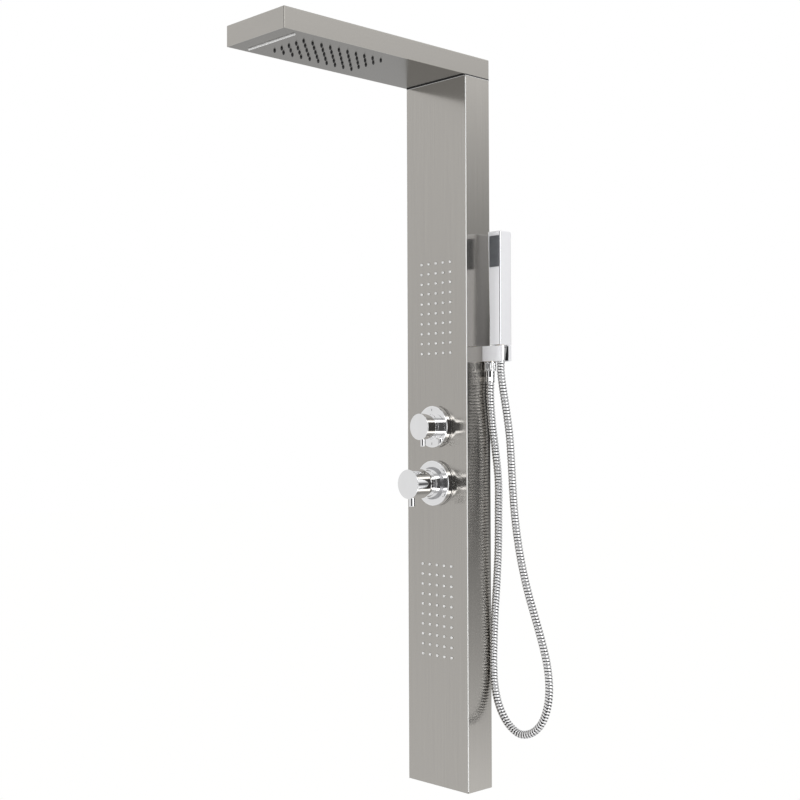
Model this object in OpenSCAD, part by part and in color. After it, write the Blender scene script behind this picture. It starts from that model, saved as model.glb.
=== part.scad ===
// Rainfall shower column: a folded steel panel that hangs on a wall, with an overhead rain head,
// a waterfall slot, two fields of body jets, a mixer, a diverter and a stick handset on a hose.
// +Z is up, -Y is the side a person stands on, and the wall is the plane y = 0.
// The origin is the middle of the four wall screw holes, half way up the panel.

/* [Panel] */
// Overall height, bottom of the column to top of the head
panel_height = 1300; // [1080:10:1600]
// Width of the column and of the head
panel_width = 150; // [150:2:200]
// Depth of the column, from its front face to its back lips
column_depth = 62; // [60:1:90]
// Space between the wall and the back of the column
wall_gap = 12; // [10:1:25]
// Thickness of the folded steel sheet
sheet = 1.5; // [1:0.1:2]
// Outside radius of the folded edges
fold_r = 2; // [2:0.1:4]
// Width of the lips folded in behind the column
back_lip = 14; // [12:1:18]

/* [Head] */
// Reach of the head, from the column's back to the head's front
head_reach = 470; // [390:5:600]
// Height of the head box
head_height = 35; // [32:1:50]
// Thickness of the gasket between column and head
joint_gap = 1; // [0.5:0.1:2]
// Distance from the head's front to the middle of the rain field
rain_from_front = 155; // [150:1:180]
// Distance from the head's front to the waterfall slot
fall_from_front = 34; // [28:1:36]
// Width of the waterfall lip
fall_width = 120; // [90:2:130]
// Depth that the waterfall lip stands out below the head
fall_drop = 2; // [1:0.5:6]

/* [Spray fields] */
// Nozzles across each field
spray_columns = 5; // [3:1:5]
// Nozzles along each field
spray_rows = 10; // [6:1:10]
// Distance between body jets
jet_pitch = 18; // [14:0.5:18]
// Distance between rain nozzles
rain_pitch = 18.8; // [14:0.2:19]
// Radius of a body jet nub
jet_r = 2.8; // [2:0.1:3.5]
// Height of a body jet nub
jet_tall = 2.2; // [1:0.1:4]
// Radius of a rain nub
rain_r = 2.1; // [1.5:0.1:3]
// Length of a rain nub below the head
rain_tall = 4; // [2:0.5:6]
// Height of the upper jet field above the middle of the panel
upper_jets_z = 205; // [195:1:260]
// Height of the lower jet field, below the middle of the panel
lower_jets_z = -337; // [-360:1:-300]
// Thickness of the silicone nozzle mats
mat = 2; // [1:0.5:3]
// Depth of the water chambers
chamber_depth = 17; // [14:1:20]

/* [Diverter] */
// Height of the diverter's axis
diverter_z = -8; // [-12:1:0]
// Radius of the diverter knob
diverter_r = 23.4; // [20:0.2:26]
// Length of the diverter knob
diverter_length = 24; // [20:1:34]
// Radius of the diverter escutcheon
diverter_plate_r = 37.5; // [32:0.5:42]

/* [Mixer] */
// Height of the mixer's axis
mixer_z = -109; // [-114:1:-106]
// Radius of the mixer handle
mixer_r = 26; // [25.4:0.2:30]
// Length of the mixer handle
mixer_length = 32; // [28:1:40]
// Radius of the mixer escutcheon
mixer_plate_r = 40.5; // [36:0.5:46]
// Radius of the domed sleeve that the handle tilts on
dome_r = 22.5; // [22.2:0.1:23]
// Radius of the male threads for the hot and cold supplies, G1/2
inlet_r = 10.48; // [8.3:0.01:13.2]

/* [Handset] */
// Width of the stick handset, across
handset_width = 25; // [25:1:32]
// Depth of the stick handset, front to back
handset_depth = 31; // [27:1:36]
// Length of the stick handset
handset_length = 201; // [160:1:260]
// Distance from the column's side to the far face of the bracket
bracket_reach = 42; // [42:1:50]
// Depth of the bracket, front to back
bracket_depth = 31; // [29:1:40]
// Height of the bracket block
bracket_height = 27.5; // [26:0.5:34]
// Height of the bracket's underside above the middle of the panel
bracket_z = 107.5; // [105:0.5:115]
// Radius of the shower hose
hose_r = 7; // [6:0.5:7]

/* [Wall fixing] */
// Height of the screws in the upper hanger, and depth of those in the lower one
hanger_z = 450; // [430:5:480]
// Distance between the two screws of a hanger
screw_spacing = 80; // [60:2:96]
// Radius of a wall screw hole
screw_hole_r = 3.25; // [2.5:0.25:4.5]

/* [Hidden] */
$fn = 64;

// The panel's faces
half_h = panel_height / 2;
half_w = panel_width / 2;
inner_half_w = half_w - sheet;
back_y = -wall_gap;
inner_back_y = back_y - sheet;
front_y = back_y - column_depth;
inner_front_y = front_y + sheet;
head_floor_z = half_h - head_height;
column_top_z = head_floor_z - joint_gap;
head_front_y = back_y - head_reach;
rain_y = head_front_y + rain_from_front;
fall_y = head_front_y + fall_from_front;
cut = 1;
edge_gap = 0.5;

// Spray fields: margins from the outer nozzles to the chamber's cavity, studs and rim
cavity_margin = 5.5;
stud_margin = 9.7;
rim_margin = 14;
hole_gap = 0.2;
thread_gap = 0.1;
stud_r = 2;
stud_spare = 1;
nut_edge = 0.5;
nut_corner_r = 4;
nut_tall = 3.2;
mat_back = sheet + mat;
chamber_back = mat_back + chamber_depth;
chamber_floor = 3;
chamber_rear_y = front_y + chamber_back;
chamber_wall = 4;
nub_shoulder = 0.6;
nub_tip = 0.6;
boss_tall = 16;
boss_half_w = 8;

// Feed hoses inside the panel
feed_r = 7;
spigot_r = 5;
spigot_bore_r = 3.5;
spigot_long = 10;
hose_fit = 0.1;
feed_bend = 20;
feed_y = back_y - 13;
top_hose_x = 18;
side_hose_x = inner_half_w - 13.5;
head_hose_z = head_floor_z + mat_back + chamber_depth / 2;
climb_top = head_hose_z - feed_bend;

// Way between column and head, and the bolts beside it
gate_side = 2;
gate_end_x = -6;
gate_front = 16;
gate_back = 5;
bolt_r = 2.5;
bolt_head = 4;
bolt_spare = 1.5;

// Flanges of the bottom cap and of the head's base plate
flange_x = inner_half_w - sheet / 2;
cap_flange = 18;
cap_flange_set = 4;
base_flange = 12;

// Waterfall
fall_lip = 3;
fall_slit = 1.2;
fall_body = 28;
fall_side = 6;
fall_over = 7;
fall_wall = 2;

// Wall fixing
hanger_half_w = 52;
hanger_half_h = 18;
hanger_plate = 3;
hanger_shelf = 15;
hook_y = back_y + hanger_plate;
hook_gap = 0.4;
hook_drop = 12;
lip_top = 32;
rail_plate = 2;
rail_foot = 4;
rail_side_gap = 1;
rail_screw_in = 8;
rail_screw_rise = [12, 26];
screw_head_r = 3.4;
screw_head = 1.8;
screw_long = 7;

// Valve bodies
fit = 0.05;
body_back_y = feed_y - 15;
manifold_half_w = 28;
manifold_top = 22;
manifold_back_y = feed_y + 8;
union_x = 30;
supply_room = 4;
union_socket_r = 8;
union_socket = 10;
union_seat = 9;
union_nut_r = 12.5;
union_nut = 4;
union_thread = 14;
union_bore_r = 5.5;
bar_half_h = 12;
bar_end = 13;
bar_bore_r = 5;
pipe_r = 8;
pipe_wall = 2;
pipe_y = feed_y - 4;
body_wall = 3;
neck_front = 8;
core_clear = 20;
lock_nut = 5;
cavity_gap = 6;
plate_hole_gap = 2.5;
manifold_top_z = diverter_z + manifold_top;
mixer_boss_top = mixer_z + 26;
gasket = 1;
plate_thick = 12;
plate_wall = 5;

// Diverter stack, measured out from the panel's face
diverter_neck_r = 17;
diverter_core_r = 14;
diverter_collar = 7.5;
collar_skin = 3;
diverter_groove = 0.8;
diverter_back = plate_thick + diverter_collar + diverter_groove;
diverter_front = diverter_back + diverter_length;
diverter_core_depth = 30;
diverter_core_front = 12;
diverter_nut_wall = 3.4;
rotor_r = 12;
rotor = 8;
rotor_back = 12;
rotor_room = 10;
rotor_gap = 0.3;
spindle_r = 4.9;
spindle_grip = 14;
spindle_end_gap = 0.1;
knob_face = 4;
diverter_wall = 3.4;
diverter_peg_r = 4.75;
diverter_peg_long = 15;
peg_back = 10;
peg_tip = 0.6;
peg_set = 0.2;

// Mixer stack, measured out from the panel's face
mixer_neck_r = 21;
mixer_core_r = 17.5;
guide_r = 13;
trim_ring = 2;
trim_rim = 3;
mixer_collar = 14;
neck_length = 12;
collar_front = plate_thick + trim_ring + mixer_collar;
mixer_back = collar_front + neck_length;
mixer_front = mixer_back + mixer_length;
pivot_out = mixer_back - 8;
dome_gap = 0.5;
dome_skin = 3;
dome_hole_r = 14;
stem_r = 5;
stem_back = 8;
stem_grip = 12;
fork_gap = 0.3;
fork_back = 12;
fork_room = 20;
guide_back = 9.5;
guide_over = 4;
trunnion_r = 1.5;
trunnion_set = 1.5;
hub_r = 9;
hub_gap = 2.5;
mixer_core_depth = 32;
mixer_core_front = 16;
mixer_nut_wall = 3.6;
mixer_peg_r = 5.5;
mixer_peg_long = 16.5;

// Bracket and handset
seat_x = half_w + bracket_reach - 11.5;
grip_y = back_y - 6;
outlet_x = half_w + 11.5;
supply_shoulder_x = inner_half_w - 14;
supply_seat = 7;
supply_bore_r = 3.8;
outlet_bore_r = 4.5;
nipple_set = 8;
nipple_drop = 10;
bracket_nut_r = 12;
bracket_nut = 5;
bracket_top = bracket_z + bracket_height;
supply_z = bracket_z + 16;
seat_top_r = 11.6;
seat_low_r = 8.8;
seat_gap = 0.4;
seat_straight = 4;
seat_proud = 0.6;
nut_shoulder = 5.1;
slot_width = 17;
nipple_r = 8.3;
swivel_gap = 0.4;
handset_z = bracket_top + 1;
handset_top = handset_z + handset_length;
nozzle_plate_length = 55;
nozzle_plate_width = handset_width - 3;
nozzle_plate_deep = 3.2;
nozzle_plate_proud = 1.8;
nozzle_plate_down = 8;
nozzle_low = handset_top - nozzle_plate_down - nozzle_plate_length;
fine_nozzle_r = 0.8;
fine_nozzle_tall = 0.5;
outlet_nut_r = 10.6;
outlet_nut_z = bracket_z - 17;
outlet_nut_floor = 3;
outlet_ferrule_z = outlet_nut_z - 20.5;
outlet_ferrule_wall = 0.7;
end_ferrule_wall = 0.3;
end_ferrule = 6;
ferrule_bore_r = 4;
washer = 2.5;
washer_z = bracket_z + 9;
inlet_flange = 1.2;
inlet_set = 5;

// Shower hose: the middle of its free run, from the outlet ferrule to the handset ferrule
hose_sides = 10;
outlet_limb = [
    [0, 0, -37.5], [0, 0, -65.5], [-0.5, 4.6, -107.5], [2, 10.2, -157.5], [5.7, 13.5, -212.5],
    [5.7, 13.5, -272.5], [4.7, 13.5, -332.5], [1.8, 12.5, -392.5], [-1.6, 11, -447.5],
    [-3.7, 10.2, -497.5], [-3.9, 9.4, -539.5], [-1.1, 9.7, -577.5], [8.4, 11, -611.5],
    [26.8, 12.5, -638.5], [53.7, 13.5, -652.5]
];
handset_limb = [
    [63.7, 6.5, -645.5], [85.7, 7, -624.5], [98.2, 7, -593.5], [101.2, 7, -559.5],
    [96.2, 7, -522.5], [84.2, 7, -483.5], [69.2, 7, -443.5], [54.2, 7, -403.5],
    [41.2, 7, -359.5], [31.2, 7, -314.5], [24.2, 7, -267.5], [20.2, 7, -221.5],
    [17.2, 7, -175.5], [14.3, 6, -131.5], [8.8, 4, -87.5], [3.5, 1, -47.5], [0, 0, -19.5], [0, 0, 0]
];
hose_route = concat(
    [for (p = outlet_limb) [outlet_x, feed_y, bracket_z] + p],
    [for (p = handset_limb) [seat_x, grip_y, bracket_z] + p]
);

// Grid of nozzle places, centred on the field
function grid(pitch) = [
    for (i = [0:spray_columns - 1], j = [0:spray_rows - 1])
        [(i - (spray_columns - 1) / 2) * pitch, (j - (spray_rows - 1) / 2) * pitch]
];
function span_x(pitch) = (spray_columns - 1) * pitch / 2;
function span_y(pitch) = (spray_rows - 1) * pitch / 2;
function stud_places(pitch) = [
    for (i = [-1, 1], j = [-1, 0, 1]) [i * (span_x(pitch) + stud_margin), j * span_y(pitch)]
];
head_bolt_places = [
    [-36, front_y + 8], [36, front_y + 8], [22, back_y - 10], [half_w - 15, back_y - 10]
];

rail_screw_places = [
    for (x = [-1, 1], z = [-hanger_z, hanger_z], rise = rail_screw_rise)
        [x * (half_w - rail_screw_in), z + rise]
];

// Ring of points round the hose at one point of its route
function unit(v) = v / norm(v);
function heading(route, i) = unit(route[min(i + 1, len(route) - 1)] - route[max(i - 1, 0)]);
function ring(centre, ahead, r, n) =
    let (side = unit(cross(ahead, [0, 1, 0])), up = cross(side, ahead))
    [for (k = [0:n - 1]) centre + r * (cos(360 * k / n) * side + sin(360 * k / n) * up)];

// ---------- Places ----------

// Local +Z points out of the column's face, and local +Y is up
module on_panel(z) {
    translate([0, front_y, z]) rotate([90, 0, 0]) children();
}

// Local +Z points down out of the head, and local +Y points to the head's front
module under_head(y) {
    translate([0, y, head_floor_z]) rotate([180, 0, 0]) children();
}

// ---------- Shapes that repeat ----------

module soft_square(x0, y0, x1, y1, r) {
    translate([x0 + r, y0]) square([x1 - x0 - 2 * r, y1 - y0]);
    translate([x0, y0 + r]) square([x1 - x0, y1 - y0 - 2 * r]);
    for (x = [x0 + r, x1 - r], y = [y0 + r, y1 - r]) translate([x, y]) circle(r = r, $fn = 32);
}

module inner_outline(y_front) {
    soft_square(-inner_half_w, y_front + sheet, inner_half_w, inner_back_y, fold_r - sheet);
}

module pipe(r_out, r_in, z0, z1) {
    difference() {
        translate([0, 0, z0]) cylinder(r = r_out, h = z1 - z0);
        translate([0, 0, z0 - cut]) cylinder(r = r_in, h = z1 - z0 + 2 * cut);
    }
}

// Quarter bend that leaves along +Z and arrives along +X
module elbow() {
    translate([feed_bend, 0, 0]) rotate([90, 0, 0]) rotate([0, 0, 90])
        rotate_extrude(angle = 90) translate([feed_bend, 0]) difference() {
            circle(r = feed_r, $fn = 32);
            circle(r = spigot_r + hose_fit, $fn = 32);
        }
}

module feed_run(z0, z1) {
    pipe(feed_r, spigot_r + hose_fit, z0, z1);
}

module hex_nut(hole_r) {
    difference() {
        cylinder(r = nut_corner_r, h = nut_tall, $fn = 6);
        translate([0, 0, -cut]) cylinder(r = hole_r, h = nut_tall + 2 * cut);
    }
}

module field_holes(pitch, r) {
    for (p = grid(pitch)) translate([p[0], p[1], -sheet - cut])
        cylinder(r = r, h = sheet + 2 * cut, $fn = 32);
}

module field_studs(pitch) {
    for (p = stud_places(pitch)) translate([p[0], p[1], -chamber_back - nut_tall - stud_spare])
        cylinder(r = stud_r, h = chamber_depth + mat + nut_tall + stud_spare + sheet / 2, $fn = 32);
}

module spray_mat(pitch, r, tall) {
    difference() {
        translate([-span_x(pitch) - rim_margin, -span_y(pitch) - rim_margin, -mat_back])
            cube([2 * (span_x(pitch) + rim_margin), 2 * (span_y(pitch) + rim_margin), mat]);
        for (p = stud_places(pitch)) translate([p[0], p[1], -mat_back - cut])
            cylinder(r = stud_r + hole_gap, h = mat + 2 * cut, $fn = 32);
    }
    for (p = grid(pitch)) translate([p[0], p[1], -sheet - mat / 2]) {
        cylinder(r = r, h = mat / 2 + sheet + tall * nub_shoulder, $fn = 32);
        translate([0, 0, mat / 2 + sheet + tall * nub_shoulder])
            cylinder(r1 = r, r2 = r * nub_tip, h = tall * (1 - nub_shoulder), $fn = 32);
    }
}

module spray_chamber(pitch) {
    half_x = span_x(pitch);
    half_y = span_y(pitch);
    difference() {
        translate([-half_x - rim_margin, -half_y - rim_margin, -chamber_back])
            cube([2 * (half_x + rim_margin), 2 * (half_y + rim_margin), chamber_depth]);
        translate([-half_x - cavity_margin, -half_y - cavity_margin, -chamber_back + chamber_floor])
            cube([2 * (half_x + cavity_margin), 2 * (half_y + cavity_margin), chamber_depth]);
        for (p = stud_places(pitch)) translate([p[0], p[1], -chamber_back - cut])
            cylinder(r = stud_r + hole_gap, h = chamber_depth + 2 * cut, $fn = 32);
    }
}

// Hollow spigot that a feed hose slides over, standing on z = 0
module spigot(root) {
    difference() {
        translate([0, 0, -root]) cylinder(r = spigot_r, h = spigot_long + root);
        translate([0, 0, -root]) cylinder(r = spigot_bore_r, h = spigot_long + root + cut);
    }
}

// Domed cover plate round a valve: rounded rim, shallow stepped back edge and a cavity for the lock nut
module escutcheon(plate_r, hole_r, cavity_r) {
    rim = 3;
    rim_start = plate_thick - rim;
    groove_depth = 0.8;
    groove_tall = 1.2;
    groove_start = gasket + 3;
    difference() {
        rotate_extrude($fn = 96) {
            translate([0, gasket]) square([plate_r, rim_start - gasket]);
            translate([0, rim_start]) square([plate_r - rim, rim]);
            translate([plate_r - rim, rim_start]) circle(r = rim, $fn = 48);
        }
        translate([0, 0, -cut]) cylinder(r = hole_r, h = plate_thick + 2 * cut);
        translate([0, 0, -cut]) cylinder(r = cavity_r, h = plate_thick - plate_wall + cut);
        rotate_extrude($fn = 96) translate([plate_r - groove_depth, groove_start])
            square([groove_depth + cut, groove_tall]);
    }
}

module knob_peg(r, length, back) {
    rotate([90, 0, 0]) translate([0, back, 0]) {
        cylinder(r = r, h = length - peg_tip, $fn = 48);
        translate([0, 0, length - peg_tip])
            cylinder(r1 = r, r2 = r - peg_tip, h = peg_tip, $fn = 48);
    }
}

// ---------- Column ----------

module column_shell() {
    color("silver") difference() {
        union() {
            translate([0, 0, -half_h]) linear_extrude(column_top_z + half_h) difference() {
                soft_square(-half_w, front_y, half_w, back_y, fold_r);
                inner_outline(front_y);
                translate([back_lip - half_w, inner_back_y - cut])
                    square([panel_width - 2 * back_lip, sheet + 2 * cut]);
            }
            translate([0, 0, column_top_z - sheet]) linear_extrude(sheet) inner_outline(front_y);
            on_panel(upper_jets_z) field_studs(jet_pitch);
            on_panel(lower_jets_z) field_studs(jet_pitch);
        }
        hose_gate(column_top_z - sheet, sheet);
        head_bolt_holes(column_top_z - sheet, sheet);
        on_panel(upper_jets_z) field_holes(jet_pitch, jet_r + hole_gap);
        on_panel(lower_jets_z) field_holes(jet_pitch, jet_r + hole_gap);
        on_panel(diverter_z) translate([0, 0, -sheet - cut])
            cylinder(r = diverter_neck_r + hole_gap, h = sheet + 2 * cut);
        on_panel(mixer_z) translate([0, 0, -sheet - cut])
            cylinder(r = mixer_neck_r + hole_gap, h = sheet + 2 * cut);
        translate([inner_half_w - cut, feed_y, supply_z]) rotate([0, 90, 0])
            cylinder(r = feed_r + hole_gap, h = sheet + 2 * cut);
        rail_screw_holes();
    }
}

// Way through for the two hoses that climb into the head
module hose_gate(z, thick) {
    start_x = -side_hose_x - feed_r - gate_side;
    translate([start_x, front_y + gate_front, z - cut])
        cube([gate_end_x - start_x, column_depth - gate_front - gate_back, thick + 2 * cut]);
}

module head_bolt_holes(z, thick) {
    for (p = head_bolt_places) translate([p[0], p[1], z - cut])
        cylinder(r = bolt_r + hole_gap, h = thick + 2 * cut, $fn = 32);
}

// Closing plate with a notch at its back, through which the two supply hoses can rise
module column_bottom_cap() {
    notch_half_w = union_x + inlet_r + supply_room;
    notch_y = pipe_y - inlet_r - supply_room;
    color("silver") {
        translate([0, 0, -half_h]) linear_extrude(sheet) difference() {
            inner_outline(front_y);
            translate([-notch_half_w, notch_y])
                square([2 * notch_half_w, inner_back_y + cut - notch_y]);
        }
        for (side = [-1, 1])
            translate([side * flange_x - sheet / 2, inner_front_y + cap_flange_set, -half_h])
                cube([sheet, column_depth - 3 * cap_flange_set, cap_flange]);
    }
}

module neck_gasket() {
    inset = 3;
    color("dimgray") difference() {
        translate([inset - half_w, front_y + inset, column_top_z])
            cube([panel_width - 2 * inset, column_depth - 2 * inset, joint_gap]);
        hose_gate(column_top_z, joint_gap);
        head_bolt_holes(column_top_z, joint_gap);
    }
}

// Four hexagon bolts up through the column's top flange, the gasket and the head's base plate
module head_bolts() {
    under = column_top_z - sheet;
    color("gainsboro") for (p = head_bolt_places) translate([p[0], p[1], under]) {
        translate([0, 0, -bolt_head]) cylinder(r = nut_corner_r + nut_edge, h = bolt_head, $fn = 6);
        cylinder(r = bolt_r, h = 2 * sheet + joint_gap + nut_tall + bolt_spare, $fn = 32);
    }
}

// ---------- Wall fixing ----------

module rear_rail(z) {
    hook_rear_y = hook_y + hanger_plate + hook_gap;
    color("lightsteelblue") difference() {
        union() {
            translate([-inner_half_w + rail_side_gap, inner_back_y - rail_plate, z + rail_foot])
                cube([2 * (inner_half_w - rail_side_gap), rail_plate, lip_top + rail_plate - rail_foot]);
            translate([-hanger_half_w, inner_back_y - rail_plate, z + lip_top])
                cube([2 * hanger_half_w, hook_rear_y + 2 * rail_plate - inner_back_y, rail_plate]);
            translate([-hanger_half_w, hook_rear_y, z + lip_top - hook_drop])
                cube([2 * hanger_half_w, rail_plate, hook_drop + rail_plate]);
        }
        rail_screw_holes();
    }
}

module rear_rail_upper() { rear_rail(hanger_z); }

module rear_rail_lower() { rear_rail(-hanger_z); }

module rail_screw_holes() {
    for (p = rail_screw_places)
        translate([p[0], inner_back_y - rail_plate - cut, p[1]]) rotate([-90, 0, 0])
            cylinder(r = stud_r, h = rail_plate + sheet + 2 * cut, $fn = 32);
}

module rail_screws() {
    color("gainsboro") for (p = rail_screw_places)
        translate([p[0], back_y, p[1]]) rotate([-90, 0, 0]) {
            cylinder(r = screw_head_r, h = screw_head, $fn = 32);
            translate([0, 0, -screw_long])
                cylinder(r = stud_r - thread_gap, h = screw_long + screw_head / 2, $fn = 32);
        }
}

// Wall plate whose raised front lip carries the rail's hook
module wall_hanger(z) {
    plate = hanger_plate;
    color("lightsteelblue") difference() {
        union() {
            translate([-hanger_half_w, -plate, z - hanger_half_h])
                cube([2 * hanger_half_w, plate, 2 * hanger_half_h]);
            translate([-hanger_half_w, hook_y, z + hanger_shelf])
                cube([2 * hanger_half_w, -hook_y, plate]);
            translate([-hanger_half_w, hook_y, z + hanger_shelf])
                cube([2 * hanger_half_w, plate, lip_top - hanger_shelf]);
        }
        for (side = [-1, 1])
            translate([side * screw_spacing / 2, -plate - cut, z]) rotate([-90, 0, 0])
                cylinder(r = screw_hole_r, h = plate + 2 * cut);
    }
}

module wall_hanger_upper() { wall_hanger(hanger_z); }

module wall_hanger_lower() { wall_hanger(-hanger_z); }

// ---------- Head ----------

module head_shell() {
    color("silver") translate([0, 0, head_floor_z]) difference() {
        linear_extrude(head_height) soft_square(-half_w, head_front_y, half_w, back_y, fold_r);
        translate([0, 0, -cut]) linear_extrude(head_height - sheet + cut) inner_outline(head_front_y);
    }
}

module head_base_plate() {
    flange = base_flange;
    color("gray") difference() {
        union() {
            translate([0, 0, head_floor_z]) linear_extrude(sheet) inner_outline(head_front_y);
            for (side = [-1, 1])
                translate([side * flange_x - sheet / 2, head_front_y + flange, head_floor_z])
                    cube([sheet, head_reach - column_depth - 2 * flange, flange]);
            under_head(rain_y) field_studs(rain_pitch);
        }
        hose_gate(head_floor_z, sheet);
        head_bolt_holes(head_floor_z, sheet);
        under_head(rain_y) field_holes(rain_pitch, rain_r + hole_gap);
        translate([-fall_width / 2 - edge_gap, fall_y - fall_lip / 2 - edge_gap, head_floor_z - cut])
            cube([fall_width + 2 * edge_gap, fall_lip + 2 * edge_gap, sheet + 2 * cut]);
    }
}

module rain_nozzle_mat() {
    color([0.08, 0.08, 0.09]) under_head(rain_y) spray_mat(rain_pitch, rain_r, rain_tall);
}

module rain_water_chamber() {
    rear = rain_y + span_y(rain_pitch) + rim_margin;
    color("whitesmoke") difference() {
        union() {
            under_head(rain_y) spray_chamber(rain_pitch);
            translate([-top_hose_x, rear, head_hose_z]) rotate([-90, 0, 0]) spigot(cut);
        }
        translate([-top_hose_x, rear - rim_margin, head_hose_z]) rotate([-90, 0, 0])
            cylinder(r = spigot_bore_r, h = rim_margin + cut);
    }
}

// Flat funnel in the head that ends in a thin lip below it
module waterfall_spout() {
    half = side_hose_x + fall_side;
    floor_z = head_floor_z + sheet;
    tall = head_hose_z + fall_over - floor_z;
    wall = fall_wall;
    rear = fall_y + fall_body / 2;
    color("white") difference() {
        union() {
            translate([-half, fall_y - fall_body / 2, floor_z])
                cube([2 * half, fall_body, tall]);
            translate([-fall_width / 2, fall_y - fall_lip / 2, head_floor_z - fall_drop])
                cube([fall_width, fall_lip, fall_drop + sheet + cut]);
            translate([-side_hose_x, rear, head_hose_z]) rotate([-90, 0, 0]) spigot(cut);
        }
        translate([wall - half, fall_y - fall_body / 2 + wall, floor_z + wall])
            cube([2 * (half - wall), fall_body - 2 * wall, tall - 2 * wall]);
        translate([wall - fall_width / 2, fall_y - fall_slit / 2, head_floor_z - fall_drop - cut])
            cube([fall_width - 2 * wall, fall_slit, fall_drop + sheet + wall + 2 * cut]);
        translate([-side_hose_x, rear - wall - cut, head_hose_z]) rotate([-90, 0, 0])
            cylinder(r = spigot_bore_r, h = wall + 2 * cut);
    }
}

// ---------- Body jets ----------

module upper_jet_mat() {
    color("gainsboro") on_panel(upper_jets_z) spray_mat(jet_pitch, jet_r, jet_tall);
}

module lower_jet_mat() {
    color("gainsboro") on_panel(lower_jets_z) spray_mat(jet_pitch, jet_r, jet_tall);
}

module upper_jet_chamber() {
    low = upper_jets_z - span_y(jet_pitch) - rim_margin;
    color("whitesmoke") difference() {
        union() {
            on_panel(upper_jets_z) spray_chamber(jet_pitch);
            translate([-boss_half_w, chamber_rear_y - cut, low])
                cube([2 * boss_half_w, manifold_back_y - chamber_rear_y + cut, boss_tall]);
            translate([0, feed_y, low]) rotate([180, 0, 0]) spigot(cut);
        }
        translate([0, feed_y, low - cut]) cylinder(r = spigot_bore_r, h = boss_tall / 2 + 2 * cut);
        translate([0, chamber_rear_y - chamber_wall, low + boss_tall / 2 + chamber_wall])
            rotate([-90, 0, 0]) cylinder(r = spigot_bore_r, h = feed_y - chamber_rear_y + chamber_wall);
    }
}

// Its inlet boss stands on the chamber's side, clear of the nuts behind it
module lower_jet_chamber() {
    top = lower_jets_z + span_y(jet_pitch) + rim_margin;
    side_x = span_x(jet_pitch) + rim_margin;
    boss_end = side_hose_x + boss_half_w;
    color("whitesmoke") difference() {
        union() {
            on_panel(lower_jets_z) spray_chamber(jet_pitch);
            translate([side_x - cut, chamber_rear_y - chamber_depth + chamber_wall, top - boss_tall])
                cube([boss_end - side_x + cut, chamber_depth - chamber_wall, boss_tall]);
            translate([side_x + hole_gap, chamber_rear_y - cut, top - boss_tall])
                cube([boss_end - side_x - hole_gap, manifold_back_y - chamber_rear_y + cut, boss_tall]);
            translate([side_hose_x, feed_y, top]) spigot(cut);
        }
        translate([side_hose_x, feed_y, top - boss_tall / 2 - cut])
            cylinder(r = spigot_bore_r, h = boss_tall);
    }
}

// Hexagon nuts of the two jet chambers, the rain chamber and the head bolts
module panel_nuts() {
    color("gainsboro") {
        for (z = [upper_jets_z, lower_jets_z], p = stud_places(jet_pitch))
            on_panel(z) translate([p[0], p[1], -chamber_back - nut_tall]) hex_nut(stud_r + thread_gap);
        for (p = stud_places(rain_pitch))
            under_head(rain_y) translate([p[0], p[1], -chamber_back - nut_tall]) hex_nut(stud_r + thread_gap);
        for (p = head_bolt_places)
            translate([p[0], p[1], head_floor_z + sheet]) hex_nut(bolt_r + thread_gap);
    }
}

// ---------- Diverter ----------

module diverter_body() {
    color("peru") difference() {
        union() {
            on_panel(diverter_z) {
                translate([0, 0, front_y - body_back_y])
                    cylinder(r = diverter_neck_r + body_wall, h = body_back_y - inner_front_y);
                translate([0, 0, -sheet - cut]) cylinder(r = diverter_neck_r, h = neck_front + sheet + cut);
            }
            translate([-manifold_half_w, body_back_y, diverter_z - manifold_top])
                cube([2 * manifold_half_w, manifold_back_y - body_back_y, 2 * manifold_top]);
            for (x = [-top_hose_x, 0, top_hose_x])
                translate([x, feed_y, diverter_z + manifold_top]) spigot(cut);
            for (side = [-1, 1]) translate([side * manifold_half_w, feed_y, diverter_z])
                rotate([0, side * 90, 0]) spigot(cut);
        }
        on_panel(diverter_z) translate([0, 0, -diverter_core_depth])
            cylinder(r = diverter_core_r + fit, h = diverter_core_depth + core_clear);
        for (x = [-top_hose_x, 0, top_hose_x]) translate([x, feed_y, diverter_z])
            cylinder(r = spigot_bore_r, h = manifold_top + cut);
        translate([-manifold_half_w - cut, feed_y, diverter_z]) rotate([0, 90, 0])
            cylinder(r = spigot_bore_r, h = 2 * (manifold_half_w + cut));
        translate([0, pipe_y, diverter_z - manifold_top - cut])
            cylinder(r = pipe_r - pipe_wall, h = manifold_top);
    }
}

module diverter_cartridge() {
    color("khaki") on_panel(diverter_z) difference() {
        translate([0, 0, -diverter_core_depth])
            cylinder(r = diverter_core_r, h = diverter_core_depth + diverter_core_front);
        translate([0, 0, -rotor_back]) cylinder(r = rotor_r + rotor_gap, h = rotor_room);
        translate([0, 0, -rotor_back])
            cylinder(r = spindle_r + fit, h = rotor_back + diverter_core_front + cut);
    }
}

module diverter_lock_nut() {
    color("goldenrod") on_panel(diverter_z)
        pipe(diverter_neck_r + diverter_nut_wall, diverter_neck_r + fit, 0, lock_nut);
}

module diverter_spindle() {
    color("darkkhaki") on_panel(diverter_z) {
        translate([0, 0, cut - rotor_back]) cylinder(r = rotor_r, h = rotor);
        translate([0, 0, -rotor / 2])
            cylinder(r = spindle_r, h = diverter_back + spindle_grip + rotor / 2);
    }
}

module diverter_gasket() {
    color("dimgray") on_panel(diverter_z) pipe(diverter_plate_r - 1, diverter_neck_r + cavity_gap, 0, gasket);
}

module diverter_escutcheon() {
    color("gainsboro") on_panel(diverter_z)
        escutcheon(diverter_plate_r, diverter_neck_r + plate_hole_gap, diverter_neck_r + cavity_gap);
}

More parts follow.
